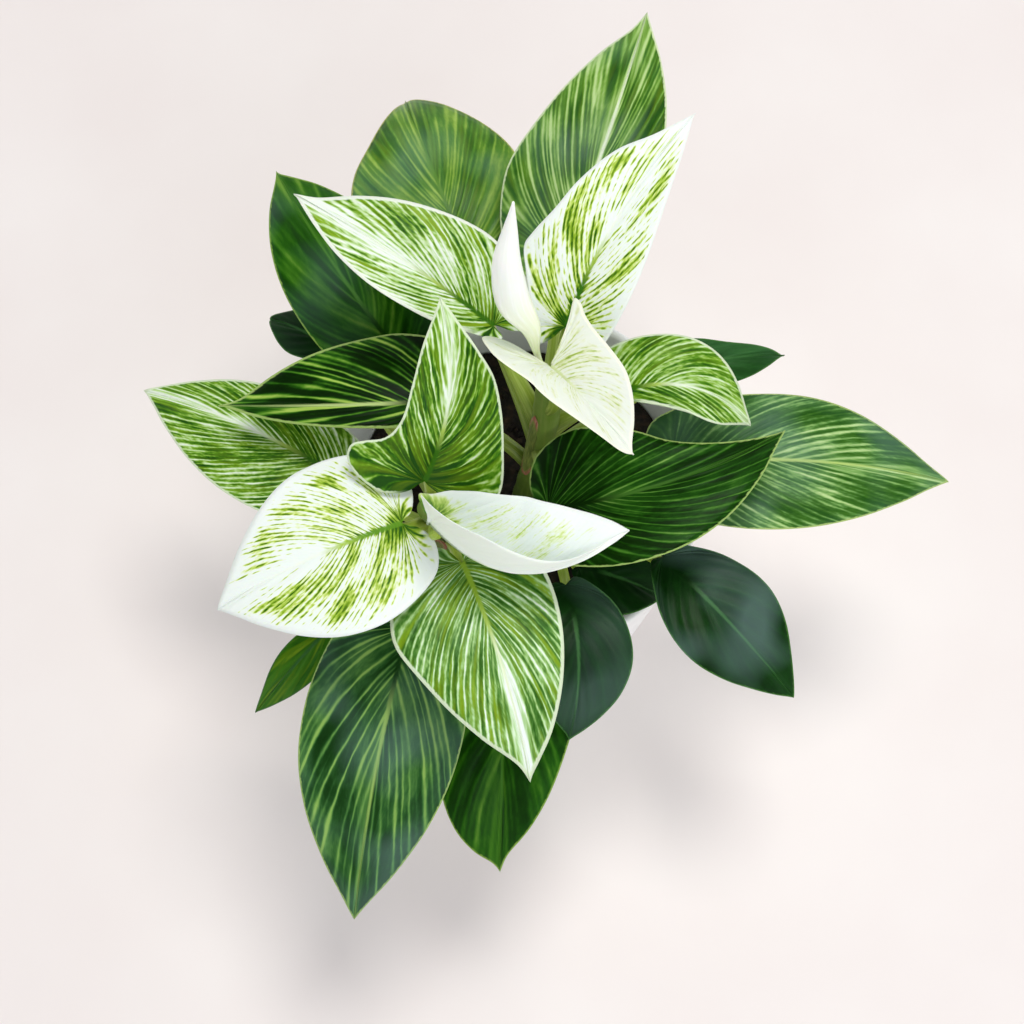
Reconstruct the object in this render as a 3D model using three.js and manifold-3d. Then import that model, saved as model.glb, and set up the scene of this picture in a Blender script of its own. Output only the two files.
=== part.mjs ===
// A potted philodendron birkin: pot, potting mix, two shoots and their striped leaves.
// Millimetres, +Z up. The origin is the middle of the pot's underside.
import * as THREE from 'three'
import { mergeVertices } from 'three/addons/utils/BufferGeometryUtils.js'
import Module from 'manifold-3d'

const wasm = await Module()
wasm.setup()

// ---------- driving dimensions ----------
const GAP = 0.3              // clear space between neighbouring pieces
const SLIVER = 0.08          // edges shorter than this are dropped after a cut
const POT_HEIGHT = 130
const POT_RIM_RADIUS = 75
const POT_BASE_RADIUS = 62
const POT_WALL = 3
const POT_FLOOR = 4
const LIP_HEIGHT = 8
const LIP_PROUD = 1
const DRAIN_RADIUS = 4
const DRAIN_CIRCLE = 30
const DRAIN_COUNT = 5
const SOIL_TOP = 98
const SOIL_DOME = 3
const ROUND_SEGMENTS = 40

const BLADE_THICKNESS = 0.9
const BLADE_ROWS = 12        // veins drawn on each half of a blade
const BLADE_COLUMNS = 3      // steps along each vein
const STALK_SIDES = 8
const STALK_STEPS = 7
const STALK_FOOT_RADIUS = 3.2
const STALK_TIP_RADIUS = 2

// ---------- finishes ----------
const FINISHES = {
  glaze: { color: '#f1f2f0', roughness: 0.25, metalness: 0 },
  mix: { color: '#1f1914', roughness: 0.95, metalness: 0 },
  stem: { color: '#4f6d2c', roughness: 0.5, metalness: 0 },
  stalk: { color: '#7d9a3c', roughness: 0.45, metalness: 0 },
  sheath: { color: '#9a6048', roughness: 0.6, metalness: 0 },
  dark: { color: '#1f4a22', roughness: 0.3, metalness: 0 },
  striped: { color: '#5d8f3a', roughness: 0.35, metalness: 0 },
  white: { color: '#e4eed8', roughness: 0.4, metalness: 0 },
}

const group = new THREE.Group()
group.name = 'potted_birkin'

function addMesh(name, geometry, finish) {
  const material = new THREE.MeshStandardMaterial(FINISHES[finish])
  material.name = finish
  const mesh = new THREE.Mesh(geometry, material)
  mesh.name = name
  group.add(mesh)
}

// ---------- joining and cutting ----------
function solidOf(geometry) {
  const plain = geometry.clone()
  plain.deleteAttribute('normal')
  plain.deleteAttribute('uv')
  const merged = mergeVertices(plain, 1e-4)
  const vertProperties = new Float32Array(merged.attributes.position.array)
  const triVerts = new Uint32Array(merged.index.array)
  return new wasm.Manifold(new wasm.Mesh({ numProp: 3, vertProperties, triVerts }))
}

function geometryOf(solid) {
  const mesh = solid.getMesh()
  const geometry = new THREE.BufferGeometry()
  geometry.setAttribute('position', new THREE.BufferAttribute(new Float32Array(mesh.vertProperties), 3))
  geometry.setIndex(new THREE.BufferAttribute(new Uint32Array(mesh.triVerts), 1))
  geometry.computeVertexNormals()
  return geometry
}

// Also drops the slivers that cutting leaves.
function biggestPiece(solid) {
  const pieces = solid.simplify(SLIVER).decompose()
  pieces.sort((one, other) => other.volume() - one.volume())
  return pieces[0]
}

// ---------- a tube with its own radius at each point ----------
function tube(points, radii, sides) {
  const positions = []
  const indices = []
  let across = null
  points.forEach((point, i) => {
    const before = points[Math.max(i - 1, 0)]
    const after = points[Math.min(i + 1, points.length - 1)]
    const along = after.clone().sub(before).normalize()
    if (!across) {
      const start = Math.abs(along.z) > 0.9 ? new THREE.Vector3(1, 0, 0) : new THREE.Vector3(0, 0, 1)
      across = start
    }
    across = across.clone().addScaledVector(along, -across.dot(along)).normalize()
    const other = along.clone().cross(across)
    for (let j = 0; j < sides; j++) {
      const angle = (2 * Math.PI * j) / sides
      const ring = point.clone()
      ring.addScaledVector(across, radii[i] * Math.cos(angle))
      ring.addScaledVector(other, radii[i] * Math.sin(angle))
      positions.push(ring.x, ring.y, ring.z)
    }
  })
  const last = points.length - 1
  for (let i = 0; i < last; i++) {
    for (let j = 0; j < sides; j++) {
      const next = (j + 1) % sides
      const a = i * sides + j
      const b = i * sides + next
      const c = a + sides
      const d = b + sides
      indices.push(a, b, d, a, d, c)
    }
  }
  for (let j = 1; j < sides - 1; j++) {
    indices.push(0, j + 1, j)
    indices.push(last * sides, last * sides + j, last * sides + j + 1)
  }
  const geometry = new THREE.BufferGeometry()
  geometry.setAttribute('position', new THREE.Float32BufferAttribute(positions, 3))
  geometry.setIndex(indices)
  geometry.computeVertexNormals()
  return geometry
}

// ---------- leaf outlines ----------
// Half an outline from the notch to the tip. The first number is along the midrib, in blade lengths,
// or in lobe lengths where it is negative; the second is across, in half widths.
const OUTLINES = {
  heart: [[0, 0.02], [-0.5, 0.14], [-1, 0.36], [-0.8, 0.74], [0, 0.98], [0.13, 0.99], [0.3, 0.84],
    [0.5, 0.64], [0.7, 0.44], [0.86, 0.22], [0.95, 0.07], [1, 0]],
  broad: [[0, 0.02], [-0.62, 0.1], [-0.98, 0.34], [-0.8, 0.66], [0.02, 0.9], [0.2, 1], [0.4, 0.95],
    [0.6, 0.75], [0.78, 0.46], [0.9, 0.2], [0.965, 0.06], [1, 0]],
  round: [[0, 0.02], [-0.62, 0.12], [-1, 0.38], [-0.72, 0.7], [0.06, 0.92], [0.24, 1], [0.45, 1],
    [0.64, 0.9], [0.78, 0.7], [0.88, 0.42], [0.945, 0.14], [1, 0]],
  long: [[0, 0.02], [-0.6, 0.14], [-0.95, 0.36], [-0.55, 0.66], [0.08, 0.88], [0.26, 1], [0.46, 0.96],
    [0.64, 0.77], [0.8, 0.47], [0.91, 0.2], [0.97, 0.06], [1, 0]],
  oval: [[0, 0.02], [-0.3, 0.1], [-0.3, 0.24], [0.06, 0.5], [0.2, 0.82], [0.36, 0.99], [0.52, 0.99],
    [0.68, 0.8], [0.82, 0.5], [0.92, 0.24], [0.975, 0.07], [1, 0]],
  drop: [[0, 0.02], [-0.6, 0.12], [-0.95, 0.34], [-0.6, 0.62], [0.02, 0.84], [0.14, 0.97], [0.26, 1],
    [0.42, 0.88], [0.6, 0.68], [0.76, 0.42], [0.9, 0.12], [1, 0]],
  blunt: [[0, 0.02], [-0.5, 0.05], [-0.9, 0.14], [-0.55, 0.28], [-0.05, 0.53], [0.1, 0.77], [0.25, 0.92],
    [0.42, 0.98], [0.6, 0.95], [0.77, 0.8], [0.89, 0.54], [0.965, 0.25], [1, 0]],
  full: [[0, 0.02], [-0.62, 0.1], [-0.98, 0.34], [-0.75, 0.64], [0.02, 0.86], [0.2, 0.98], [0.4, 1],
    [0.54, 0.86], [0.66, 0.58], [0.78, 0.34], [0.9, 0.13], [1, 0]],
  // one half only: a lobe set off by a waist, the two sides of a funnel, a half rolled in near its tip,
  // a narrow lobe under a shoulder, a half that narrows early, a half curled under, a half with no lobe
  waisted: [[0, 0.02], [-0.5, 0.12], [-0.84, 0.34], [-0.84, 0.58], [-0.58, 0.86], [-0.2, 1], [0.04, 1],
    [0.1, 0.86], [0.17, 0.65], [0.3, 0.53], [0.55, 0.45], [0.78, 0.3], [1, 0]],
  funnel_low: [[0, 0.02], [-0.3, 0.16], [-0.62, 0.2], [-0.76, 0.36], [-0.74, 0.6], [-0.58, 0.8],
    [-0.22, 0.93], [0.04, 0.98], [0.14, 0.93], [0.27, 0.8], [0.5, 0.71], [0.7, 0.57], [0.86, 0.32], [1, 0]],
  funnel_high: [[0, 0.02], [-0.06, 0.2], [-0.14, 0.45], [-0.28, 0.75], [-0.4, 0.97], [-0.24, 0.98],
    [-0.05, 0.89], [0.12, 0.81], [0.32, 0.76], [0.52, 0.7], [0.67, 0.55], [0.8, 0.34], [0.92, 0.1], [1, 0]],
  rolled: [[0, 0.02], [-0.3, 0.2], [-0.3, 0.5], [0.02, 0.85], [0.14, 1], [0.27, 0.96], [0.4, 0.74],
    [0.54, 0.46], [0.68, 0.24], [0.82, 0.12], [0.93, 0.05], [1, 0]],
  shouldered: [[0, 0.02], [-0.5, 0.12], [-0.9, 0.3], [-0.6, 0.48], [0.04, 0.6], [0.14, 0.82], [0.22, 1],
    [0.28, 0.97], [0.4, 0.83], [0.54, 0.73], [0.7, 0.54], [0.84, 0.24], [1, 0]],
  hooked: [[0, 0.02], [-0.4, 0.1], [-0.62, 0.3], [-0.55, 0.54], [-0.22, 0.76], [0.05, 0.93], [0.15, 1],
    [0.29, 0.93], [0.42, 0.77], [0.55, 0.5], [0.7, 0.28], [0.86, 0.11], [1, 0]],
  curled: [[0, 0.02], [-0.3, 0.15], [-0.2, 0.3], [0.04, 0.4], [0.17, 0.5], [0.34, 0.78], [0.5, 0.92],
    [0.66, 1], [0.78, 0.84], [0.88, 0.5], [0.96, 0.15], [1, 0]],
  cut_back: [[0, 0.02], [-0.12, 0.2], [-0.16, 0.5], [-0.06, 0.8], [0.05, 0.95], [0.14, 0.98], [0.29, 0.85],
    [0.45, 0.73], [0.6, 0.6], [0.72, 0.4], [0.86, 0.17], [1, 0]],
}

// base: where the stalk meets the blade. tip: the blade's point. width and lobe are the flat leaf's.
// arch lifts the midrib, sway bends it to the right as seen from the base, fold lifts each half,
// curl turns each half back down. left and right scale the halves. from: height on the stem.
// leftOutline, rightOutline and rightFold are for a half that differs from the other. fan is the share of
// the outline whose veins start at the notch.
const LEAVES = [
  { id: '01', shoot: 'a', from: 200, finish: 'white', outline: 'heart', base: [11, 3, 236],
    tip: [39, -32, 242], width: 50, lobe: 22, arch: 4, sway: 0, fold: 30, curl: 10, left: 0.98, right: 1.14,
    rightFold: 55, leftOutline: 'funnel_high', rightOutline: 'funnel_low', stalk: 4.5 },
  { id: '02', shoot: 'a', from: 182, finish: 'white', outline: 'broad', base: [17, 23, 224.6],
    tip: [62, 88, 262], width: 44, lobe: 10, arch: 8, sway: -2.8, fold: 20, curl: 20, left: 1.14, right: 0.84,
    leftOutline: 'shouldered' },
  { id: '03', shoot: 'a', from: 176, finish: 'striped', outline: 'drop', base: [-9, 25, 221],
    tip: [-81, 70, 236], width: 42, lobe: 12, arch: 8, sway: -1, fold: 20, curl: 20, left: 0.77,
    right: 1.24, leftOutline: 'oval', stalk: 4.2 },
  { id: '04', shoot: 'a', from: 165, finish: 'dark', outline: 'long', base: [17, 59, 206],
    tip: [49, 154, 222], width: 54, lobe: 12, arch: 8, sway: 1.8, fold: 12, curl: 20, left: 1.17,
    right: 0.84, leftOutline: 'drop' },
  { id: '05', shoot: 'a', from: 150, finish: 'dark', outline: 'broad', base: [-18, 61, 196],
    tip: [-45, 141, 178], width: 60, lobe: 10, arch: 16, sway: -2.5, fold: 8, curl: 30, left: 1.14,
    right: 1.13, leftOutline: 'full', rightOutline: 'long' },
  { id: '06', shoot: 'a', from: 135, finish: 'dark', outline: 'long', base: [-44, 32, 170],
    tip: [-97, 116, 166], width: 50, lobe: 10, arch: 8, sway: -3, fold: 10, curl: 20, left: 0.95,
    right: 1.15 },
  { id: '07', shoot: 'a', from: 175, finish: 'striped', outline: 'long', base: [32, 6, 200],
    tip: [86, -2, 190], width: 38, lobe: 8, arch: 12, sway: -5.5, fold: 12, curl: 20, left: 1.04,
    right: 0.6, rightOutline: 'curled', stalk: 5 },
  { id: '08', shoot: 'b', from: 195, finish: 'striped', outline: 'heart', base: [-33, -35, 223],
    tip: [-27, 20, 258], width: 54, lobe: 10, arch: 4, sway: 6.3, fold: 16, curl: 20, left: 1.06,
    leftOutline: 'waisted', rightOutline: 'cut_back', fan: 0.62, right: 0.97 },
  { id: '09', shoot: 'b', from: 190, finish: 'white', outline: 'long', base: [-41, -48, 216],
    tip: [-106, -77, 206], width: 60, lobe: 7.5, arch: 8, sway: 0, fold: 8, curl: 20, left: 1.06,
    right: 1.09, rightOutline: 'broad' },
  { id: '10', shoot: 'b', from: 198, finish: 'white', outline: 'oval', base: [-30, -53, 233],
    tip: [37, -59, 243], width: 52, lobe: 8, arch: 2, sway: 17, fold: 30, curl: 10, rightFold: 100,
    leftOutline: 'blunt', rightOutline: 'rolled' },
  { id: '11', shoot: 'b', from: 178, finish: 'striped', outline: 'broad', base: [-20, -60, 208],
    tip: [4, -135, 190], width: 58, lobe: 10, arch: 10, sway: -2, fold: 12, curl: 24, left: 0.89,
    right: 1.14, rightOutline: 'drop' },
  { id: '12', shoot: 'a', from: 160, finish: 'dark', outline: 'broad', base: [11, -33, 186],
    tip: [98, -6, 196], width: 50, lobe: 10, arch: 8, sway: 7, fold: 14, curl: 20, left: 1.14, right: 1.06,
    leftOutline: 'hooked', rightOutline: 'long', stalk: 5 },
  { id: '13', shoot: 'a', from: 130, finish: 'striped', outline: 'long', base: [59, -8, 166],
    tip: [167, -11, 152], width: 55, lobe: 10, arch: 10, sway: -1, fold: 8, curl: 20 },
  { id: '14', shoot: 'b', from: 165, finish: 'dark', outline: 'long', base: [-24, 8, 190],
    tip: [-113, 9, 182], width: 40, lobe: 8, arch: 6, sway: -3, fold: 10, curl: 20, left: 0.5, right: 1.5,
    rightOutline: 'drop' },
  { id: '15', shoot: 'b', from: 135, finish: 'striped', outline: 'long', base: [-66, -14, 162],
    tip: [-148, 28, 150], width: 46, lobe: 8, arch: 6, sway: 2, fold: 10, curl: 20, left: 1.2,
    right: 0.85 },
  { id: '16', shoot: 'b', from: 145, finish: 'dark', outline: 'long', base: [-41, -73, 166],
    tip: [-61, -176, 132], width: 58, lobe: 10, arch: 12, sway: 1, fold: 8, curl: 20, right: 1.06 },
  { id: '17', shoot: 'b', from: 128, finish: 'dark', outline: 'long', base: [-5, -79, 140],
    tip: [-7, -156, 114], width: 50, lobe: 10, arch: 10, sway: 0, fold: 12, curl: 20, left: 1.08,
    rightOutline: 'round', leftOutline: 'drop' },
  { id: '18', shoot: 'a', from: 136, finish: 'dark', outline: 'oval', base: [18, -54, 158],
    tip: [19, -111, 146], width: 46, lobe: 5, arch: 8, sway: -4, fold: 8, curl: 20, left: 0.88 },
  { id: '19', shoot: 'a', from: 120, finish: 'dark', outline: 'oval', base: [55, -43, 158],
    tip: [104, -95, 146], width: 41, lobe: 5, arch: 6, sway: 0, fold: 8, curl: 16 },
  { id: '20', shoot: 'b', from: 122, finish: 'dark', outline: 'oval', base: [-66, -60, 142],
    tip: [-102, -96, 124], width: 19, lobe: 6, arch: 4, sway: 0, fold: 10, curl: 20, right: 0.8 },
  { id: '21', shoot: 'b', from: 120, finish: 'dark', outline: 'oval', base: [-71, 46, 146],
    tip: [-101, 64, 138], width: 22, lobe: 6, arch: 4, sway: 0, fold: 10, curl: 20 },
  { id: '22', shoot: 'a', from: 140, finish: 'dark', outline: 'oval', base: [61, 35, 156],
    tip: [106, 43, 150], width: 22, lobe: 4, arch: 4, sway: 0, fold: 10, curl: 20, leftOutline: 'heart',
    rightOutline: 'long' },
  { id: '23', shoot: 'a', from: 112, finish: 'dark', outline: 'oval', base: [24, -41, 138],
    tip: [57, -51, 130], width: 30, lobe: 6, arch: 4, sway: 0, fold: 10, curl: 20 },
]

// The rolled new leaf: points up its middle and the radius at each.
const SPEAR = [
  { at: [8, 7, 226], radius: 1.3 },
  { at: [6, 9, 237], radius: 1.5 },
  { at: [4, 13, 248], radius: 3.8 },
  { at: [-2, 17, 262], radius: 6.2 },
  { at: [-4, 21, 282], radius: 5 },
  { at: [-3, 25, 298], radius: 2.6 },
  { at: [-2, 28, 312], radius: 0.4 },
]

// Papery sheaths that stand against the stems, made as narrow upright blades.
const SHEATHS = [
  { name: 'sheath_1', outline: 'oval', base: [2, -5, 146], tip: [6, -1, 198], width: 11, fold: -20, curl: 60 },
  { name: 'sheath_2', outline: 'oval', base: [-29, -45, 174], tip: [-32, -48, 202], width: 8, fold: 15, curl: -50 },
  { name: 'sheath_3', outline: 'oval', base: [-20, -37, 104], tip: [-25, -42, 146], width: 10, fold: 15, curl: -50 },
]

const SHOOTS = {
  a: { foot: [2, -4, 84], top: [11, 4, 224], footRadius: 8, topRadius: 4.6 },
  b: { foot: [-20, -26, 84], top: [-32, -42, 214], footRadius: 7.5, topRadius: 4.2 },
}

// ---------- leaf blade ----------
function outlineAt(points, place) {
  const count = points.length - 1
  const scaled = place * count
  const i = Math.min(Math.floor(scaled), count - 1)
  const t = scaled - i
  const pick = (k) => points[Math.min(Math.max(k, 0), count)]
  return [0, 1].map((axis) => {
    const p0 = pick(i - 1)[axis]
    const p1 = pick(i)[axis]
    const p2 = pick(i + 1)[axis]
    const p3 = pick(i + 2)[axis]
    const cubic = (-p0 + 3 * p1 - 3 * p2 + p3) * t ** 3
    return 0.5 * (2 * p1 + (p2 - p0) * t + (2 * p0 - 5 * p1 + 4 * p2 - p3) * t ** 2 + cubic)
  })
}

function leafAxes(leaf) {
  const base = new THREE.Vector3(...leaf.base)
  const chord = new THREE.Vector3(...leaf.tip).sub(base)
  const length = chord.length()
  const along = chord.normalize()
  const side = along.clone().cross(new THREE.Vector3(0, 0, 1)).normalize()
  const up = side.clone().cross(along)
  return { base, along, side, up, length }
}

function bow(u) {
  return u < 0 ? 4 * u : 4 * u * (1 - u)
}

function midribPoint(leaf, axes, u) {
  return axes.base.clone()
    .addScaledVector(axes.along, u * axes.length)
    .addScaledVector(axes.up, leaf.arch * bow(u))
    .addScaledVector(axes.side, leaf.sway * bow(u))
}

// x runs along the midrib and y across it, both in millimetres on the flat leaf.
function bladePoint(leaf, axes, x, y) {
  const u = x / axes.length
  const point = midribPoint(leaf, axes, u)
  const near = THREE.MathUtils.clamp(u, 0.01, 0.99)
  const along = midribPoint(leaf, axes, near + 0.002).sub(midribPoint(leaf, axes, near - 0.002)).normalize()
  const side = along.clone().cross(axes.up).normalize()
  const up = side.clone().cross(along)
  const foldDegrees = y > 0 && leaf.rightFold ? leaf.rightFold : leaf.fold
  const fold = THREE.MathUtils.degToRad(foldDegrees)
  const turn = THREE.MathUtils.degToRad(leaf.curl) / (leaf.width / 2)
  const reach = Math.abs(y)
  const out = (Math.sin(fold) - Math.sin(fold - turn * reach)) / turn
  const rise = (Math.cos(fold - turn * reach) - Math.cos(fold)) / turn
  point.addScaledVector(side, Math.sign(y) * out)
  point.addScaledVector(up, rise)
  return point
}

function bladeNormal(leaf, axes, x, y, hand) {
  const step = 0.4
  const inner = Math.sign(y) === hand || y === 0 ? y : 0
  const dx = bladePoint(leaf, axes, x + step, inner).sub(bladePoint(leaf, axes, x - step, inner))
  const from = bladePoint(leaf, axes, x, inner)
  const dy = bladePoint(leaf, axes, x, inner + hand * step).sub(from).multiplyScalar(hand)
  return dy.cross(dx).normalize()
}

// Both halves are grids of veins. Each vein leaves the midrib and bends towards the tip.
function bladeFlatGrid(leaf, length, hand) {
  const half = (leaf.width / 2) * (hand > 0 ? leaf.right ?? 1 : leaf.left ?? 1)
  const shares = OUTLINES[(hand > 0 ? leaf.rightOutline : leaf.leftOutline) ?? leaf.outline]
  const outline = shares.map(([x, y]) => [x * (x < 0 ? leaf.lobe : length), y * half])
  const fan = leaf.fan ?? 0.3
  const rows = []
  for (let i = 0; i <= BLADE_ROWS; i++) {
    const place = i / BLADE_ROWS
    const edge = outlineAt(outline, place)
    const rib = [length * Math.max(0, (place - fan) / (1 - fan)) ** 1.1, 0]
    const bend = [rib[0] + 0.3 * (edge[0] - rib[0]), 0.6 * edge[1]]
    const row = []
    for (let j = 0; j <= BLADE_COLUMNS; j++) {
      const t = j / BLADE_COLUMNS
      const at = [0, 1].map((k) => (1 - t) ** 2 * rib[k] + 2 * t * (1 - t) * bend[k] + t * t * edge[k])
      row.push([at[0], hand * at[1]])
    }
    rows.push(row)
  }
  return rows
}

// The blade between two heights over its middle surface.
function bladeSolid(leaf, above, below) {
  const axes = leafAxes(leaf)
  const positions = []
  const known = new Map()
  const pairs = []
  const vertex = (flat, hand) => {
    const key = flat.map((value) => value.toFixed(3)).join()
    if (known.has(key)) {
      return known.get(key)
    }
    const point = bladePoint(leaf, axes, flat[0], flat[1])
    const normal = bladeNormal(leaf, axes, flat[0], flat[1], hand)
    if (Math.abs(flat[1]) < 1e-3) {
      const other = bladeNormal(leaf, axes, flat[0], flat[1], -hand)
      normal.add(other).normalize()
    }
    const top = point.clone().addScaledVector(normal, above)
    const bottom = point.clone().addScaledVector(normal, below)
    const index = pairs.length
    positions.push(top.x, top.y, top.z, bottom.x, bottom.y, bottom.z)
    pairs.push([2 * index, 2 * index + 1])
    known.set(key, index)
    return index
  }
  const indices = []
  const rims = []
  const face = (a, b, c) => {
    if (a === b || b === c || a === c) {
      return
    }
    indices.push(pairs[a][0], pairs[b][0], pairs[c][0])
    indices.push(pairs[a][1], pairs[c][1], pairs[b][1])
  }
  for (const hand of [-1, 1]) {
    const grid = bladeFlatGrid(leaf, axes.length, hand)
    grid[0] = grid[0].map(() => [0, 0])
    grid[BLADE_ROWS] = grid[BLADE_ROWS].map(() => [axes.length, 0])
    const ids = grid.map((row) => row.map((flat) => vertex(flat, hand)))
    for (let i = 0; i < BLADE_ROWS; i++) {
      for (let j = 0; j < BLADE_COLUMNS; j++) {
        const a = ids[i][j]
        const b = ids[i + 1][j]
        const c = ids[i + 1][j + 1]
        const d = ids[i][j + 1]
        if (hand > 0) {
          face(a, c, b)
          face(a, d, c)
        } else {
          face(a, b, c)
          face(a, c, d)
        }
      }
    }
    rims.push(ids.map((row) => row[BLADE_COLUMNS]))
  }
  const loop = [...rims[1], ...rims[0].slice(1, -1).reverse()]
  for (let i = 0; i < loop.length; i++) {
    const a = pairs[loop[i]]
    const b = pairs[loop[(i + 1) % loop.length]]
    indices.push(a[0], a[1], b[1], a[0], b[1], b[0])
  }
  const geometry = new THREE.BufferGeometry()
  geometry.setAttribute('position', new THREE.Float32BufferAttribute(positions, 3))
  geometry.setIndex(indices)
  geometry.computeVertexNormals()
  return geometry
}

// ---------- stems and stalks ----------
function stemPoint(shoot, height) {
  const foot = new THREE.Vector3(...shoot.foot)
  const top = new THREE.Vector3(...shoot.top)
  const share = (height - foot.z) / (top.z - foot.z)
  const point = foot.lerp(top, share)
  point.x += 2 * Math.sin(share * Math.PI)
  return point
}

function stemSolid(shoot, grow) {
  const points = []
  const radii = []
  const steps = 8
  for (let i = 0; i <= steps; i++) {
    const share = i / steps
    const height = shoot.foot[2] + share * (shoot.top[2] - shoot.foot[2])
    points.push(stemPoint(shoot, height))
    radii.push(shoot.footRadius + share * (shoot.topRadius - shoot.footRadius) + grow)
  }
  return tube(points, radii, 10)
}

function stalkSolid(leaf, grow) {
  const shoot = SHOOTS[leaf.shoot]
  const axes = leafAxes(leaf)
  const start = stemPoint(shoot, leaf.from)
  const end = bladePoint(leaf, axes, 3, 0)
  const flat = end.clone().sub(start)
  flat.z = 0
  flat.normalize()
  const span = end.distanceTo(start)
  const first = start.clone().addScaledVector(flat, 0.22 * span)
  first.z += 0.42 * span
  const second = end.clone().addScaledVector(axes.along, -0.12 * span)
  second.z -= 0.35 * span
  const curve = new THREE.CubicBezierCurve3(start, first, second, end)
  const points = curve.getPoints(STALK_STEPS)
  const thick = leaf.stalk ?? STALK_FOOT_RADIUS
  const radii = points.map((_, i) => grow + thick + (STALK_TIP_RADIUS - thick) * Math.min(1, (1.6 * i) / STALK_STEPS))
  return tube(points, radii, STALK_SIDES)
}

// ---------- pot ----------
function potSolid() {
  const slope = (POT_RIM_RADIUS - POT_BASE_RADIUS) / POT_HEIGHT
  const outer = (z) => POT_BASE_RADIUS + slope * z
  const top = POT_HEIGHT
  const profile = [
    [0, 0],
    [outer(0) - 1, 0],
    [outer(0), 1],
    [outer(top - LIP_HEIGHT) - LIP_PROUD, top - LIP_HEIGHT],
    [outer(top - LIP_HEIGHT) + LIP_PROUD / 2, top - LIP_HEIGHT + 1.5],
    [outer(top), top - 1.5],
    [outer(top) - 1, top - 0.3],
    [outer(top) - 2, top],
    [outer(top) - 3.2, top - 0.4],
    [outer(top) - 3.8, top - 1.6],
    [outer(POT_FLOOR) - POT_WALL, POT_FLOOR + 2],
    [outer(POT_FLOOR) - POT_WALL - 2, POT_FLOOR],
    [0, POT_FLOOR],
  ]
  const points = profile.map(([radius, height]) => new THREE.Vector2(radius, height))
  const wall = new THREE.LatheGeometry(points, ROUND_SEGMENTS)
  wall.rotateX(Math.PI / 2)
  let pot = solidOf(wall)
  for (let i = 0; i < DRAIN_COUNT; i++) {
    const angle = (2 * Math.PI * i) / DRAIN_COUNT
    const drill = new THREE.CylinderGeometry(DRAIN_RADIUS, DRAIN_RADIUS, 20, 16)
    drill.rotateX(Math.PI / 2)
    drill.translate(DRAIN_CIRCLE * Math.cos(angle), DRAIN_CIRCLE * Math.sin(angle), 0)
    pot = pot.subtract(solidOf(drill))
  }
  return pot
}

function soilSolid(stems) {
  const slope = (POT_RIM_RADIUS - POT_BASE_RADIUS) / POT_HEIGHT
  const inner = (z) => POT_BASE_RADIUS + slope * z - 4.6
  const low = POT_FLOOR + GAP
  const profile = [
    [0, low],
    [inner(low) - 3, low],
    [inner(low) - 0.5, low + 3],
    [inner(SOIL_TOP), SOIL_TOP - 1.5],
    [inner(SOIL_TOP) - 8, SOIL_TOP],
    [40, SOIL_TOP + SOIL_DOME / 2],
    [15, SOIL_TOP + SOIL_DOME],
    [0, SOIL_TOP + SOIL_DOME],
  ]
  const points = profile.map(([radius, height]) => new THREE.Vector2(radius, height))
  const body = new THREE.LatheGeometry(points, ROUND_SEGMENTS)
  body.rotateX(Math.PI / 2)
  let soil = solidOf(body)
  for (const stem of stems) {
    soil = soil.subtract(stem)
  }
  return soil
}

// ---------- the assembly ----------
const stemNames = Object.keys(SHOOTS)
const wideStems = stemNames.map((key) => solidOf(stemSolid(SHOOTS[key], GAP)))

addMesh('pot', geometryOf(potSolid()), 'glaze')
addMesh('soil', geometryOf(soilSolid(wideStems)), 'mix')
for (const key of stemNames) {
  addMesh(`stem_${key}`, stemSolid(SHOOTS[key], 0), 'stem')
}

const wideStalks = LEAVES.map((leaf) => solidOf(stalkSolid(leaf, GAP)))
for (const sheath of SHEATHS) {
  const upright = { lobe: 4, arch: 0, sway: 0, ...sheath }
  let shell = solidOf(bladeSolid(upright, BLADE_THICKNESS / 2, -BLADE_THICKNESS / 2))
  for (const neighbour of [...wideStems, ...wideStalks]) {
    shell = shell.subtract(neighbour)
  }
  addMesh(sheath.name, geometryOf(biggestPiece(shell)), 'sheath')
}
const spearPoints = SPEAR.map((station) => new THREE.Vector3(...station.at))
const spearRadii = SPEAR.map((station) => station.radius)
addMesh('spear', tube(spearPoints, spearRadii, 12), 'white')

for (const leaf of LEAVES) {
  const blade = solidOf(bladeSolid(leaf, BLADE_THICKNESS / 2, -BLADE_THICKNESS / 2))
  const overBlade = solidOf(bladeSolid(leaf, 2.4, 0.1))
  let stalk = solidOf(stalkSolid(leaf, 0)).subtract(overBlade)
  for (const stem of wideStems) {
    stalk = stalk.subtract(stem)
  }
  addMesh(`leaf_${leaf.id}`, geometryOf(biggestPiece(blade.add(biggestPiece(stalk)))), leaf.finish)
}

export default group
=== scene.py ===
"""Philodendron birkin in a white pot: leaves, stalks, stems, sheaths, potting mix, pot and studio."""
import math

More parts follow.
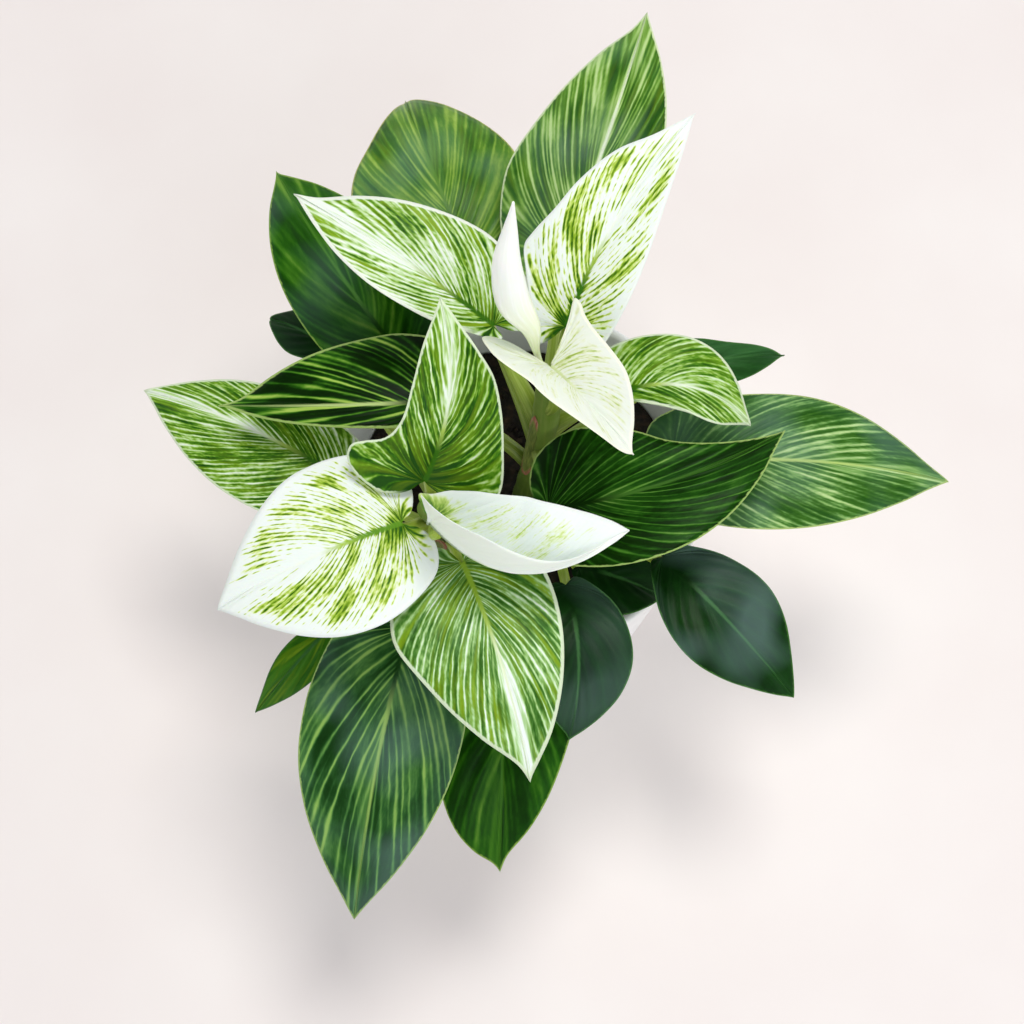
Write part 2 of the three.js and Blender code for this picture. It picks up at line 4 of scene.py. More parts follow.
import bmesh
import bpy
import numpy as np
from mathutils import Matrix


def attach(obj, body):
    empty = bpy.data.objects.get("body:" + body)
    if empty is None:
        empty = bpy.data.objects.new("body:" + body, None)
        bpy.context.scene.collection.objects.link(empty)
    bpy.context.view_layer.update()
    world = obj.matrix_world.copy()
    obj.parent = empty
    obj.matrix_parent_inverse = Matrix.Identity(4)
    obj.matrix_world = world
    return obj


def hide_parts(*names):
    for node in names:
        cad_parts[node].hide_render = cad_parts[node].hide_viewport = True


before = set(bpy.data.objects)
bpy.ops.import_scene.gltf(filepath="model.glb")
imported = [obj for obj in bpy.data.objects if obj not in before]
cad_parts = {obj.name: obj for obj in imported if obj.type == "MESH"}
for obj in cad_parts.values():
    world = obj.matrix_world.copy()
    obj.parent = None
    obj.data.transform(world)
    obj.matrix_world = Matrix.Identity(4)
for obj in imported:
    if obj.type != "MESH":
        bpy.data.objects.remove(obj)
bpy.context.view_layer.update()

MM = 0.001
FULL_TURN = 2 * math.pi
random_numbers = np.random.default_rng(20)


# ------------------------------------------------------------------ colours and nodes

MATH, MAP, MIX = "ShaderNodeMath", "ShaderNodeMapRange", "ShaderNodeMix"
NOISE, RAMP, BUMP = "ShaderNodeTexNoise", "ShaderNodeValToRGB", "ShaderNodeBump"
# Inputs by number. Map: 0 the number, 1 and 2 the ends of its span, 3 and 4 what it becomes there.
# Mix of colours: 0 the share, 6 the colour under it, 7 the colour over it.
PRODUCT = dict(operation="MULTIPLY")
SMOOTH = dict(interpolation_type="SMOOTHSTEP")
FALLING = {3: 1.0, 4: 0.0}
COLOURS = dict(data_type="RGBA", out=2)


def tint(hex_code):
    """An sRGB hex colour as the linear colour that Blender works in."""
    channels = [int(hex_code[i:i + 2], 16) / 255 for i in (1, 3, 5)]
    linear = [c / 12.92 if c <= 0.04045 else ((c + 0.055) / 1.055) ** 2.4 for c in channels]
    return (*linear, 1.0)


def add(tree, kind, inputs=None, stops=None, out=0, **settings):
    """Add one node: its settings, the values or links of its inputs, a ramp's stops. Gives one output."""
    node = tree.nodes.new(kind)
    for name, value in settings.items():
        setattr(node, name, value)
    for name, value in (inputs or {}).items():
        if isinstance(value, bpy.types.NodeSocket):
            tree.links.new(value, node.inputs[name])
        else:
            node.inputs[name].default_value = value
    if stops:
        elements = node.color_ramp.elements
        while len(elements) < len(stops):
            elements.new(0.5)
        for element, (place, hex_code) in zip(elements, stops):
            element.position = place
            element.color = tint(hex_code)
    return node.outputs[out] if len(node.outputs) else node


def new_material(name):
    """A material and its empty node tree."""
    material = bpy.data.materials.new(name)
    material.use_nodes = True
    material.node_tree.nodes.clear()
    return material, material.node_tree


def finish_material(tree, shader_inputs):
    """The surface itself: one shader with these inputs."""
    shader = add(tree, "ShaderNodeBsdfPrincipled", shader_inputs)
    add(tree, "ShaderNodeOutputMaterial", {"Surface": shader})


def sum_of(tree, *parts):
    """Adds numbers, each given as a socket or as (socket, factor)."""
    total = 0.0
    for part in parts:
        socket, factor = part if isinstance(part, tuple) else (part, 1.0)
        total = add(tree, MATH, {0: socket, 1: factor, 2: total}, operation="MULTIPLY_ADD")
    return total


# ------------------------------------------------------------------ the leaves, in millimetres

# Half outlines: shares of the length along the midrib (of the lobe behind the notch) and of the half width.
OUTLINES = {
    "heart": [(0, 0.02), (-0.5, 0.14), (-1, 0.36), (-0.8, 0.74), (0, 0.98), (0.13, 0.99), (0.3, 0.84),
              (0.5, 0.64), (0.7, 0.44), (0.86, 0.22), (0.95, 0.07), (1, 0)],
    "broad": [(0, 0.02), (-0.62, 0.1), (-0.98, 0.34), (-0.8, 0.66), (0.02, 0.9), (0.2, 1), (0.4, 0.95),
              (0.6, 0.75), (0.78, 0.46), (0.9, 0.2), (0.965, 0.06), (1, 0)],
    "round": [(0, 0.02), (-0.62, 0.12), (-1, 0.38), (-0.72, 0.7), (0.06, 0.92), (0.24, 1), (0.45, 1),
              (0.64, 0.9), (0.78, 0.7), (0.88, 0.42), (0.945, 0.14), (1, 0)],
    "long": [(0, 0.02), (-0.6, 0.14), (-0.95, 0.36), (-0.55, 0.66), (0.08, 0.88), (0.26, 1), (0.46, 0.96),
             (0.64, 0.77), (0.8, 0.47), (0.91, 0.2), (0.97, 0.06), (1, 0)],
    "oval": [(0, 0.02), (-0.3, 0.1), (-0.3, 0.24), (0.06, 0.5), (0.2, 0.82), (0.36, 0.99), (0.52, 0.99),
             (0.68, 0.8), (0.82, 0.5), (0.92, 0.24), (0.975, 0.07), (1, 0)],
    "drop": [(0, 0.02), (-0.6, 0.12), (-0.95, 0.34), (-0.6, 0.62), (0.02, 0.84), (0.14, 0.97), (0.26, 1),
             (0.42, 0.88), (0.6, 0.68), (0.76, 0.42), (0.9, 0.12), (1, 0)],
    "blunt": [(0, 0.02), (-0.5, 0.05), (-0.9, 0.14), (-0.55, 0.28), (-0.05, 0.53), (0.1, 0.77), (0.25, 0.92),
              (0.42, 0.98), (0.6, 0.95), (0.77, 0.8), (0.89, 0.54), (0.965, 0.25), (1, 0)],
    "full": [(0, 0.02), (-0.62, 0.1), (-0.98, 0.34), (-0.75, 0.64), (0.02, 0.86), (0.2, 0.98), (0.4, 1),
             (0.54, 0.86), (0.66, 0.58), (0.78, 0.34), (0.9, 0.13), (1, 0)],
    # one half only: a lobe set off by a waist, the two sides of a funnel, a half rolled in near its tip,
    # a narrow lobe under a shoulder, a half that narrows early, a half curled under, a half with no lobe
    "waisted": [(0, 0.02), (-0.5, 0.12), (-0.84, 0.34), (-0.84, 0.58), (-0.58, 0.86), (-0.2, 1), (0.04, 1),
                (0.1, 0.86), (0.17, 0.65), (0.3, 0.53), (0.55, 0.45), (0.78, 0.3), (1, 0)],
    "funnel_low": [(0, 0.02), (-0.3, 0.16), (-0.62, 0.2), (-0.76, 0.36), (-0.74, 0.6), (-0.58, 0.8),
                   (-0.22, 0.93), (0.04, 0.98), (0.14, 0.93), (0.27, 0.8), (0.5, 0.71), (0.7, 0.57),
                   (0.86, 0.32), (1, 0)],
    "funnel_high": [(0, 0.02), (-0.06, 0.2), (-0.14, 0.45), (-0.28, 0.75), (-0.4, 0.97), (-0.24, 0.98),
                    (-0.05, 0.89), (0.12, 0.81), (0.32, 0.76), (0.52, 0.7), (0.67, 0.55), (0.8, 0.34),
                    (0.92, 0.1), (1, 0)],
    "rolled": [(0, 0.02), (-0.3, 0.2), (-0.3, 0.5), (0.02, 0.85), (0.14, 1), (0.27, 0.96), (0.4, 0.74),
               (0.54, 0.46), (0.68, 0.24), (0.82, 0.12), (0.93, 0.05), (1, 0)],
    "shouldered": [(0, 0.02), (-0.5, 0.12), (-0.9, 0.3), (-0.6, 0.48), (0.04, 0.6), (0.14, 0.82), (0.22, 1),
                   (0.28, 0.97), (0.4, 0.83), (0.54, 0.73), (0.7, 0.54), (0.84, 0.24), (1, 0)],
    "hooked": [(0, 0.02), (-0.4, 0.1), (-0.62, 0.3), (-0.55, 0.54), (-0.22, 0.76), (0.05, 0.93), (0.15, 1),
               (0.29, 0.93), (0.42, 0.77), (0.55, 0.5), (0.7, 0.28), (0.86, 0.11), (1, 0)],
    "curled": [(0, 0.02), (-0.3, 0.15), (-0.2, 0.3), (0.04, 0.4), (0.17, 0.5), (0.34, 0.78), (0.5, 0.92),
               (0.66, 1), (0.78, 0.84), (0.88, 0.5), (0.96, 0.15), (1, 0)],
    "cut_back": [(0, 0.02), (-0.12, 0.2), (-0.16, 0.5), (-0.06, 0.8), (0.05, 0.95), (0.14, 0.98),
                 (0.29, 0.85), (0.45, 0.73), (0.6, 0.6), (0.72, 0.4), (0.86, 0.17), (1, 0)],
}

# What most leaves share. Lengths are in millimetres, angles in degrees, and pairs are (left, right).
#   halves: width of each half as a share of half the width. lobe: how far they reach behind the notch
#   arch, sway: how far the midrib bows up and aside. wave, waves: height and number of waves in the edge
#   folds: how far each half stands up from flat at the midrib. curl: how far it has turned down at its edge
#   fan_reach: veins that meet the margin within this share of the length start at the notch
#   slant: how steeply the others slant from the midrib towards the tip. bow: how far they bow outwards
ORDINARY_LEAF = dict(halves=(1, 1), lobe=10, arch=8, sway=0, folds=(10, 10), curl=20, wave=0.7, waves=3,
                     fan_reach=0.3, slant=3.3, bow=0.85, stalk=3.2, own={})
FAN_ROWS = 0.38               # share of the mesh rows spent on the veins that start at the notch

# The same leaves as in the part. start is the height where the stalk leaves its shoot, stalk its radius
# there, and own what makes one leaf's colouring differ from its look.
LEAVES = [
    dict(id="01", shoot="a", start=200, look="white", outlines=("funnel_high", "funnel_low"),
         base=(11, 3, 236), tip=(39, -32, 242), width=50, halves=(0.98, 1.14), lobe=22, arch=4,
         folds=(30, 55), curl=10, stalk=4.5,
         own=dict(pale=0.24, star=0.0, zones=0.2, lines=0.24, lean=0.1, rib_foot="#c9d69a",
                  rib_mid="#dfe6c0", margin="#eef0dc", margin_mm=1.0,
                  stops=[(0.15, "#7d9836"), (0.32, "#9db254"), (0.44, "#becb84"), (0.54, "#d2daae"),
                         (0.66, "#dde2c8"), (0.80, "#e2e7dc")])),
    dict(id="02", shoot="a", start=182, look="white", outlines=("shouldered", "broad"),
         base=(17, 23, 224.6), tip=(62, 88, 262), width=44, halves=(1.14, 0.84), sway=-2.8, folds=(20, 20),
         own=dict(pale=0.07, pitch=1.6, zones=0.5, zone_mm=4.5, edge=0.3, edge_mm=3.0)),
    dict(id="03", shoot="a", start=176, look="striped", outlines=("oval", "drop"),
         base=(-9, 25, 221), tip=(-81, 70, 236), width=42, halves=(0.77, 1.24), lobe=12, sway=-1,
         folds=(20, 20), slant=3.8, stalk=4.2,
         own=dict(pale=0.1, pitch=1.7, zones=0.26, lines=0.24, wavy=5.0, feather_mm=2.8, margin_mm=1.2,
                  margin="#e4ebdc", olive=0.7)),
    dict(id="04", shoot="a", start=165, look="lined", outlines=("drop", "long"),
         base=(17, 59, 206), tip=(49, 154, 222), width=54, halves=(1.17, 0.84), lobe=12, sway=1.8,
         folds=(12, 12), slant=4.6),
    dict(id="05", shoot="a", start=150, look="yellow_lined", outlines=("full", "long"),
         base=(-18, 61, 196), tip=(-45, 141, 178), width=60, halves=(1.14, 1.13), arch=16, sway=-2.5,
         folds=(8, 8), curl=30, fan_reach=0.36, slant=4, bow=1.0),
    dict(id="06", shoot="a", start=135, look="faint", outlines=("long", "long"),
         base=(-44, 32, 170), tip=(-97, 116, 166), width=50, halves=(0.95, 1.15), sway=-3, slant=4,
         own=dict(pale=0.05, painted_sheen=0.12)),
    dict(id="07", shoot="a", start=175, look="striped", outlines=("long", "curled"),
         base=(32, 6, 200), tip=(86, -2, 190), width=38, halves=(1.04, 0.6), lobe=8, arch=12, sway=-5.5,
         folds=(12, 12), stalk=5,
         own=dict(feather=0.2, lean=0.06, pale=-0.02, wavy=3.0, stripe=0.2, lines=0.16)),
    dict(id="08", shoot="b", start=195, look="striped", outlines=("waisted", "cut_back"),
         base=(-33, -35, 223), tip=(-27, 20, 258), width=54, halves=(1.06, 0.97), arch=4, sway=6.3,
         folds=(16, 16),
         own=dict(feather_mm=2.6, star_mm=22.0, pale=-0.12)),
    dict(id="09", shoot="b", start=190, look="white", outlines=("long", "broad"),
         base=(-41, -48, 216), tip=(-106, -77, 206), width=60, halves=(1.06, 1.09), lobe=7.5, folds=(8, 8),
         fan_reach=0.32, bow=1.0,
         own=dict(pale=0.08, lean=0.1, margin_mm=1.6, edge=0.45, edge_mm=7.0, star=0.55, star_mm=9.0,
                  zone_mm=3.0, wavy=3.0, feather=0.6, feather_mm=4.0, feather_from=0.4,
                  rib_foot="#5c9018")),
    dict(id="10", shoot="b", start=198, look="white", outlines=("blunt", "rolled"),
         base=(-30, -53, 233), tip=(37, -59, 243), width=52, lobe=8, arch=2, sway=17, folds=(30, 100),
         curl=10,
         # on this leaf, lean paints shade on the far half, and the painted sheen greys it as painted shade
         own=dict(pale=0.3, star=0.6, star_mm=12.0, zones=0.14, lines=0.08, lean=0.12, painted_sheen=0.16,
                  back_own=dict(pale=0.5, lines=0.0, zones=0.05, streaks=0.2, star=0.0, back="#eef2e4"))),
    dict(id="11", shoot="b", start=178, look="striped", outlines=("broad", "drop"),
         base=(-20, -60, 208), tip=(4, -135, 190), width=58, halves=(0.89, 1.14), arch=10, sway=-2,
         folds=(12, 12), curl=24, slant=4,
         own=dict(feather=0.55, feather_from=0.46, feather_mm=2.4, rib="#dde8c4", rib_foot="#8fb030",
                  star=0.1, wavy=3.5, pitch=1.9, thin=3.2, pale=-0.085, streaks=1.0, jag=0.35,
                  margin_mm=1.2, zones=0.26, olive=0.6,
                  stops=[(0.16, "#265408"), (0.34, "#447628"), (0.46, "#648f44"), (0.56, "#8ab264"),
                         (0.68, "#aed094"), (0.82, "#cfe3c2"), (0.98, "#e6eee8")])),
    dict(id="12", shoot="a", start=160, look="dark", outlines=("hooked", "long"),
         base=(11, -33, 186), tip=(98, -6, 196), width=50, halves=(1.14, 1.06), sway=7, folds=(14, 14),
         fan_reach=0.4, slant=4, bow=0.9, stalk=5,
         own=dict(stripe=0.18, thin=6.0, pitch=2.4, between=0.0, feather=0.05, rib="#3f6a24",
                  pale=-0.02)),
    dict(id="13", shoot="a", start=130, look="blurred", outlines=("long", "long"),
         base=(59, -8, 166), tip=(167, -11, 152), width=55, arch=10, sway=-1, folds=(8, 8)),
    dict(id="14", shoot="b", start=165, look="dark", outlines=("long", "drop"),
         base=(-24, 8, 190), tip=(-113, 9, 182), width=40, halves=(0.5, 1.5), lobe=8, arch=6, sway=-3,
         slant=4,
         own=dict(pitch=4.0, thin=3.6, stripe=0.46, between=0.5, feather=0.26, feather_mm=0.8,
                  rib="#c3d68c", margin_mm=0.8, pale=-0.02, zones=0.2, zone_mm=5.0,
                  stops=[(0.22, "#041a00"), (0.42, "#0b2a00"), (0.53, "#1f4e0a"), (0.66, "#4c8020"),
                         (0.86, "#a3c256")])),
    dict(id="15", shoot="b", start=135, look="striped", outlines=("long", "long"),
         base=(-66, -14, 162), tip=(-148, 28, 150), width=46, halves=(1.2, 0.85), lobe=8, arch=6, sway=2,
         own=dict(pale=-0.05, wavy=3.0, thin=2.8)),
    dict(id="16", shoot="b", start=145, look="dark", outlines=("long", "long"),
         base=(-41, -73, 166), tip=(-61, -176, 132), width=58, halves=(1, 1.06), arch=12, sway=1,
         folds=(8, 8), fan_reach=0.4, slant=4.6, bow=1.0,
         own=dict(pitch=4.8, thin=8.0, stripe=0.3, between=0.6, feather=0.2, feather_mm=1.0, painted_sheen=0.22,
                  pale=0.02, zones=0.2, rib="#94b45c",
                  stops=[(0.25, "#0c2808"), (0.42, "#163a12"), (0.53, "#285224"), (0.68, "#4e7c3a"),
                         (0.88, "#86aa54")])),
    dict(id="17", shoot="b", start=128, look="faint", outlines=("drop", "round"),
         base=(-5, -79, 140), tip=(-7, -156, 114), width=50, halves=(1.08, 1), arch=10, folds=(12, 12)),
    dict(id="18", shoot="a", start=136, look="plain", outlines=("oval", "oval"),
         base=(18, -54, 158), tip=(19, -111, 146), width=46, halves=(0.88, 1), lobe=5, sway=-4,
         folds=(8, 8), own=dict(painted_sheen=0.16, pale=-0.03)),
    dict(id="19", shoot="a", start=120, look="plain", outlines=("oval", "oval"),
         base=(55, -43, 158), tip=(104, -95, 146), width=41, lobe=5, arch=6, folds=(8, 8), curl=16,
         own=dict(painted_sheen=0.3)),
    dict(id="20", shoot="b", start=122, look="plain", outlines=("oval", "oval"),
         base=(-66, -60, 142), tip=(-102, -96, 124), width=19, halves=(1, 0.8), lobe=6, arch=4,
         own=dict(olive=0.6, stops=[(0.25, "#1c4a00"), (0.45, "#2c6206"), (0.62, "#457e14"),
                                    (0.90, "#8aad30")])),
    dict(id="21", shoot="b", start=120, look="plain", outlines=("oval", "oval"),
         base=(-71, 46, 146), tip=(-101, 64, 138), width=22, lobe=6, arch=4),
    dict(id="22", shoot="a", start=140, look="plain", outlines=("heart", "long"),
         base=(61, 35, 156), tip=(106, 43, 150), width=22, lobe=4, arch=4,
         own=dict(stops=[(0.25, "#12330f"), (0.45, "#1f4a1b"), (0.62, "#2f5f2c"), (0.90, "#4a7a3c")])),
    dict(id="23", shoot="a", start=112, look="plain", outlines=("oval", "oval"),
         base=(24, -41, 138), tip=(57, -51, 130), width=30, lobe=6, arch=4),
]

# the rolled new leaf: places along it and its radius there
SPEAR = [(8, 7, 226, 1.3), (6, 9, 237, 1.5), (4, 13, 248, 3.8), (-2, 17, 262, 6.2), (-4, 21, 282, 5.0),
         (-3, 25, 298, 2.6), (-2, 28, 312, 0.4)]

# sheaths are narrow blades without a stalk
ORDINARY_SHEATH = dict(outlines=("oval", "oval"), lobe=4, arch=0, wave=0)
SHEATHS = [
    dict(id="sheath_1", base=(2, -5, 146), tip=(6, -1, 198), width=11, folds=(-20, -20), curl=60),
    dict(id="sheath_2", base=(-29, -45, 174), tip=(-32, -48, 202), width=8, folds=(15, 15), curl=-50),
    dict(id="sheath_3", base=(-20, -37, 104), tip=(-25, -42, 146), width=10, folds=(15, 15), curl=-50),
]

SHOOTS = {
    "a": dict(foot=(2, -4, 84), top=(11, 4, 224), foot_radius=8, top_radius=4.6),
    "b": dict(foot=(-20, -26, 84), top=(-32, -42, 214), foot_radius=7.5, top_radius=4.2),
}
SHOOT_BOW = 2                 # how far a shoot bows to the right halfway up
STALK_TIP_RADIUS = 2

# relief of a blade
HALF_THICKNESS = 0.28
QUILTS, QUILT_RISE = 13, 0.16           # the tissue swells between the side veins
CHANNEL_DEPTH, CHANNEL_REACH = 0.32, 0.9    # above the midrib
RIB_DEPTH, RIB_REACH = 1.3, 1.5         # the midrib under the blade
VEIN_DEPTH = 0.1                        # the side veins under the blade
PATTERNS_APART = 100                    # so that no two halves show the same stretch of a pattern


def smooth_curve(points, places):
    """A smooth curve through its points, at places from 0 to 1 along it."""
    points = np.array(points, float)
    last = len(points) - 1
    scaled = np.clip(places, 0, 1) * last
    i = np.minimum(scaled.astype(int), last - 1)
    t = (scaled - i)[:, None]
    p0, p1 = points[np.maximum(i - 1, 0)], points[i]
    p2, p3 = points[i + 1], points[np.minimum(i + 2, last)]
    return 0.5 * (2 * p1 + (p2 - p0) * t + (2 * p0 - 5 * p1 + 4 * p2 - p3) * t ** 2
                  + (-p0 + 3 * p1 - 3 * p2 + p3) * t ** 3)


def unit(vectors):
    """The same directions, one unit long."""
    return vectors / np.linalg.norm(vectors, axis=-1, keepdims=True)


class Blade:
    """A leaf blade's surface: flat places on it, in millimetres, turned to places in space."""

    def __init__(self, leaf):
        self.leaf = leaf
        self.base = np.array(leaf["base"], float)
        chord = np.array(leaf["tip"], float) - self.base
        self.length = np.linalg.norm(chord)
        self.along = chord / self.length
        self.side = unit(np.cross(self.along, (0, 0, 1)))
        self.up = np.cross(self.side, self.along)

    def midrib(self, u):
        """Places on the midrib at shares of its length."""
        bow = np.where(u < 0, 4 * u, 4 * u * (1 - u))
        return (self.base + np.outer(u * self.length, self.along)
                + np.outer(self.leaf["arch"] * bow, self.up) + np.outer(self.leaf["sway"] * bow, self.side))

    def places(self, x, y):
        """Each half leaves the midrib at its fold angle and turns down evenly towards its edge."""
        u = x / self.length
        near = np.clip(u, 0.01, 0.99)
        along = unit(self.midrib(near + 0.002) - self.midrib(near - 0.002))
        side = unit(np.cross(along, self.up))
        up = np.cross(side, along)
        left_fold, right_fold = self.leaf["folds"]
        fold = np.where(y > 0, right_fold, left_fold) * math.pi / 180
        turn = math.radians(self.leaf["curl"]) / (self.leaf["width"] / 2)
        reach = np.abs(y)
        out = (np.sin(fold) - np.sin(fold - turn * reach)) / turn
        rise = (np.cos(fold - turn * reach) - np.cos(fold)) / turn
        return self.midrib(u) + side * (np.sign(y) * out)[:, None] + up * rise[:, None]

    def normals(self, x, y, hand):
        """Which way the upper face looks, measured on one half."""
        step = 0.4
        inner = np.where(np.sign(y) == hand, y, 0.0)
        dx = self.places(x + step, inner) - self.places(x - step, inner)
        dy = (self.places(x, inner + hand * step) - self.places(x, inner)) * hand
        return unit(np.cross(dy, dx))


def vein_grid(leaf, length, hand, rows, columns):
    """Flat places along the veins of one half, in millimetres. hand is -1 for the left half, 1 for the right.

    Each row is one vein, from the midrib or the notch to the margin. For each place on it the grid holds
    x and y, how far it is across the veins and along its own vein, its distance from the rim, and the
    shares of the rows and of its own vein up to it.
    """
    side = 1 if hand > 0 else 0
    half_width = leaf["width"] / 2 * leaf["halves"][side]
    outline = np.array(OUTLINES[leaf["outlines"][side]], float)
    outline *= np.stack([np.where(outline[:, 0] < 0, leaf["lobe"], length),
                         np.full(len(outline), half_width)], axis=1)
    fine = np.linspace(0, 1, 1601)
    reach = smooth_curve(outline, fine)[:, 0] / length
    fan_reach, bow = leaf["fan_reach"], leaf["bow"]
    first = int(np.nonzero(reach < fan_reach)[0][-1]) + 1
    # rows up to FAN_ROWS fan out from the notch; the rest leave the midrib at a narrow angle and
    # swing round to run along the margin towards the tip
    row = np.linspace(0, 1, rows + 1)
    up_rib = np.maximum(0, (row - FAN_ROWS) / (1 - FAN_ROWS)) ** 1.5
    wanted = fan_reach + (1 - fan_reach) * (1 - (1 - up_rib) ** leaf["slant"])
    on_outline = np.where(row <= FAN_ROWS, fine[first] * row / FAN_ROWS,
                          np.interp(wanted, reach[first:], fine[first:]))
    edge = smooth_curve(outline, on_outline)
    edge[0] = (0, 0)
    edge[-1] = (length, 0)
    rib = np.zeros_like(edge)
    rib[:, 0] = length * up_rib
    swing = np.clip(row / FAN_ROWS, 0, 1) ** 2
    back = np.clip(-edge[:, 0] / (0.5 * leaf["lobe"]), 0, 1)
    bend = np.stack([rib[:, 0] + (0.5 - 0.1 * bow * swing - 0.3 * back) * (edge[:, 0] - rib[:, 0]),
                     (0.52 + 0.26 * bow * swing + 0.3 * back * (1 - swing)) * edge[:, 1]], axis=1)
    t = np.linspace(0, 1, columns + 1)[None, :, None]
    flat = (1 - t) ** 2 * rib[:, None] + 2 * t * (1 - t) * bend[:, None] + t * t * edge[:, None]

    steps = np.linalg.norm(np.diff(flat, axis=1), axis=2)
    along = np.concatenate([np.zeros((rows + 1, 1)), np.cumsum(steps, axis=1)], axis=1)
    middle = columns // 2
    heading = unit(flat[:, middle + 1] - flat[:, middle - 1] + (1e-6, 0))
    moved = np.diff(flat[:, middle], axis=0)
    aside = np.abs(moved[:, 0] * heading[1:, 1] - moved[:, 1] * heading[1:, 0])
    across = np.repeat(np.concatenate([[0], np.cumsum(aside)])[:, None], columns + 1, axis=1)

    start, run = edge[:-1], np.diff(edge, axis=0)
    to_place = flat[:, :, None] - start
    share = np.clip((to_place * run).sum(-1) / np.maximum((run * run).sum(-1), 1e-9), 0, 1)
    rim = np.linalg.norm(to_place - share[..., None] * run, axis=-1).min(-1)
    row_share, vein_share = np.meshgrid(row, t[0, :, 0], indexing="ij")
    return dict(x=flat[..., 0], y=flat[..., 1] * hand, across=across, along=along, rim=rim,
                row_share=row_share, vein_share=vein_share)


def mesh_object(name, corners, faces, materials, face_materials=None, smooth=True):
    """A piece made of corners, in metres, and the faces between them."""
    mesh = bpy.data.meshes.new(name)
    mesh.from_pydata([tuple(c) for c in np.asarray(corners)], [], faces)
    for material in materials:
        mesh.materials.append(material)
    if face_materials is not None:
        mesh.polygons.foreach_set("material_index", face_materials)
    mesh.polygons.foreach_set("use_smooth", [smooth] * len(mesh.polygons))
    mesh.update()
    piece = bpy.data.objects.new(name, mesh)
    bpy.context.scene.collection.objects.link(piece)
    return piece


def blade_half(blade, hand, number, rows, columns):
    """One half of a blade: the grid of its veins, with its places on the upper and the under face."""
    leaf = blade.leaf
    grid = vein_grid(leaf, blade.length, hand, rows, columns)
    x, y, row, out = (grid[key].ravel() for key in ("x", "y", "row_share", "vein_share"))
    normal = blade.normals(x, y, hand)
    on_rib = (np.abs(y) < 1e-6)[:, None]
    normal = np.where(on_rib, unit(normal + blade.normals(x, y, -hand)), normal)
    before_tip = np.clip(1 - x / blade.length, 0, 1)
    inside = np.clip(4 * out * (1 - out), 0, 1)
    # quilting between the side veins, the channel over the midrib and the loose wavy edge
    lift = QUILT_RISE * np.sin(FULL_TURN * (QUILTS * row + 0.3 * hand)) * inside
    lift -= CHANNEL_DEPTH * np.exp(-(np.abs(y) / CHANNEL_REACH) ** 2) * before_tip
    lift += leaf["wave"] * out ** 2 * np.sin(FULL_TURN * (leaf["waves"] * row + 0.17 * number + 0.4 * hand)) \
        * np.clip(6 * (1 - row), 0, 1)
    below = RIB_DEPTH * before_tip ** 1.3 * np.exp(-(np.abs(y) / RIB_REACH) ** 2)
    below += VEIN_DEPTH * np.maximum(0, np.sin(FULL_TURN * QUILTS * row)) * inside
    half_thickness = HALF_THICKNESS * (1 - 0.55 * out ** 4)
    middle = blade.places(x, y)
    shape = (rows + 1, columns + 1)
    grid["top"] = (middle + normal * (lift + half_thickness)[:, None]).reshape(*shape, 3)
    grid["bottom"] = (middle + normal * (lift - half_thickness - below)[:, None]).reshape(*shape, 3)
    across = grid["across"] + 2 * PATTERNS_APART * number + (PATTERNS_APART if hand < 0 else 0)
    grid["patterns"] = np.stack([across, grid["along"], grid["x"], grid["y"]], axis=-1)
    grid["measures"] = np.stack([np.abs(grid["y"]), grid["rim"], grid["x"] / blade.length], axis=-1)
    return grid


def blade_mesh(name, leaf, materials, rows=104, columns=13, number=0):
    """A closed blade: upper face, under face with its raised midrib, and the edge between them."""
    blade = Blade(leaf)
    corners, measures, faces, face_materials, face_patterns = [], [], [], [], []
    index_of, rims = {}, {}

    def corner(grid, face, key, place):
        """The number of a corner, which is made the first time that its key comes up."""
        if (face, key) not in index_of:
            index_of[face, key] = len(corners)
            corners.append(grid[face][place])
            measures.append(grid["measures"][place])
        return index_of[face, key]

    for hand in (-1, 1):
        grid = blade_half(blade, hand, number, rows, columns)
        patterns = grid["patterns"]
        ids = {face: np.zeros((rows + 1, columns + 1), int) for face in ("top", "bottom")}
        for i, j in np.ndindex(rows + 1, columns + 1):
            # both halves share the corners on the midrib, and their veins all meet at the notch and the tip
            if i == 0 or (j == 0 and grid["x"][i, 0] <= 0):
                key = "notch"
            elif i == rows:
                key = "tip"
            else:
                key = ("midrib", i) if j == 0 else (hand, i, j)
            for face in ids:
                ids[face][i, j] = corner(grid, face, key, (i, j))
        for i, j in np.ndindex(rows, columns):
            quad = [(i, j), (i + 1, j), (i + 1, j + 1), (i, j + 1)][::-hand]
            for face, order, slot in (("top", quad, 0), ("bottom", quad[::-1], 1)):
                # near the notch and the tip two corners of a quad are the same one
                around = {}
                for place in order:
                    around.setdefault(int(ids[face][place]), patterns[place])
                if len(around) > 2:
                    faces.append(list(around))
                    face_materials.append(slot)
                    face_patterns.extend(around.values())
        rims[hand] = [(int(ids["top"][i, -1]), int(ids["bottom"][i, -1]), patterns[i, -1])
                      for i in range(rows + 1)]
    loop = rims[1] + rims[-1][-2:0:-1]
    for here, there in zip(loop, loop[1:] + loop[:1]):
        faces.append([here[0], here[1], there[1], there[0]])
        face_materials.append(0)
        face_patterns.extend([here[2]] * 4)
    piece = mesh_object(name, np.array(corners) * MM, faces, materials, face_materials)
    mesh = piece.data
    face_patterns = np.array(face_patterns, np.float32)
    for layer, pair in (("veins", face_patterns[:, :2]), ("flat", face_patterns[:, 2:])):
        mesh.uv_layers.new(name=layer).uv.foreach_set("vector", pair.ravel())
    for measure, values in zip(("rib_mm", "rim_mm", "tipward"), np.array(measures, np.float32).T.copy()):
        mesh.attributes.new(measure, "FLOAT", "POINT").data.foreach_set("value", values)
    return piece
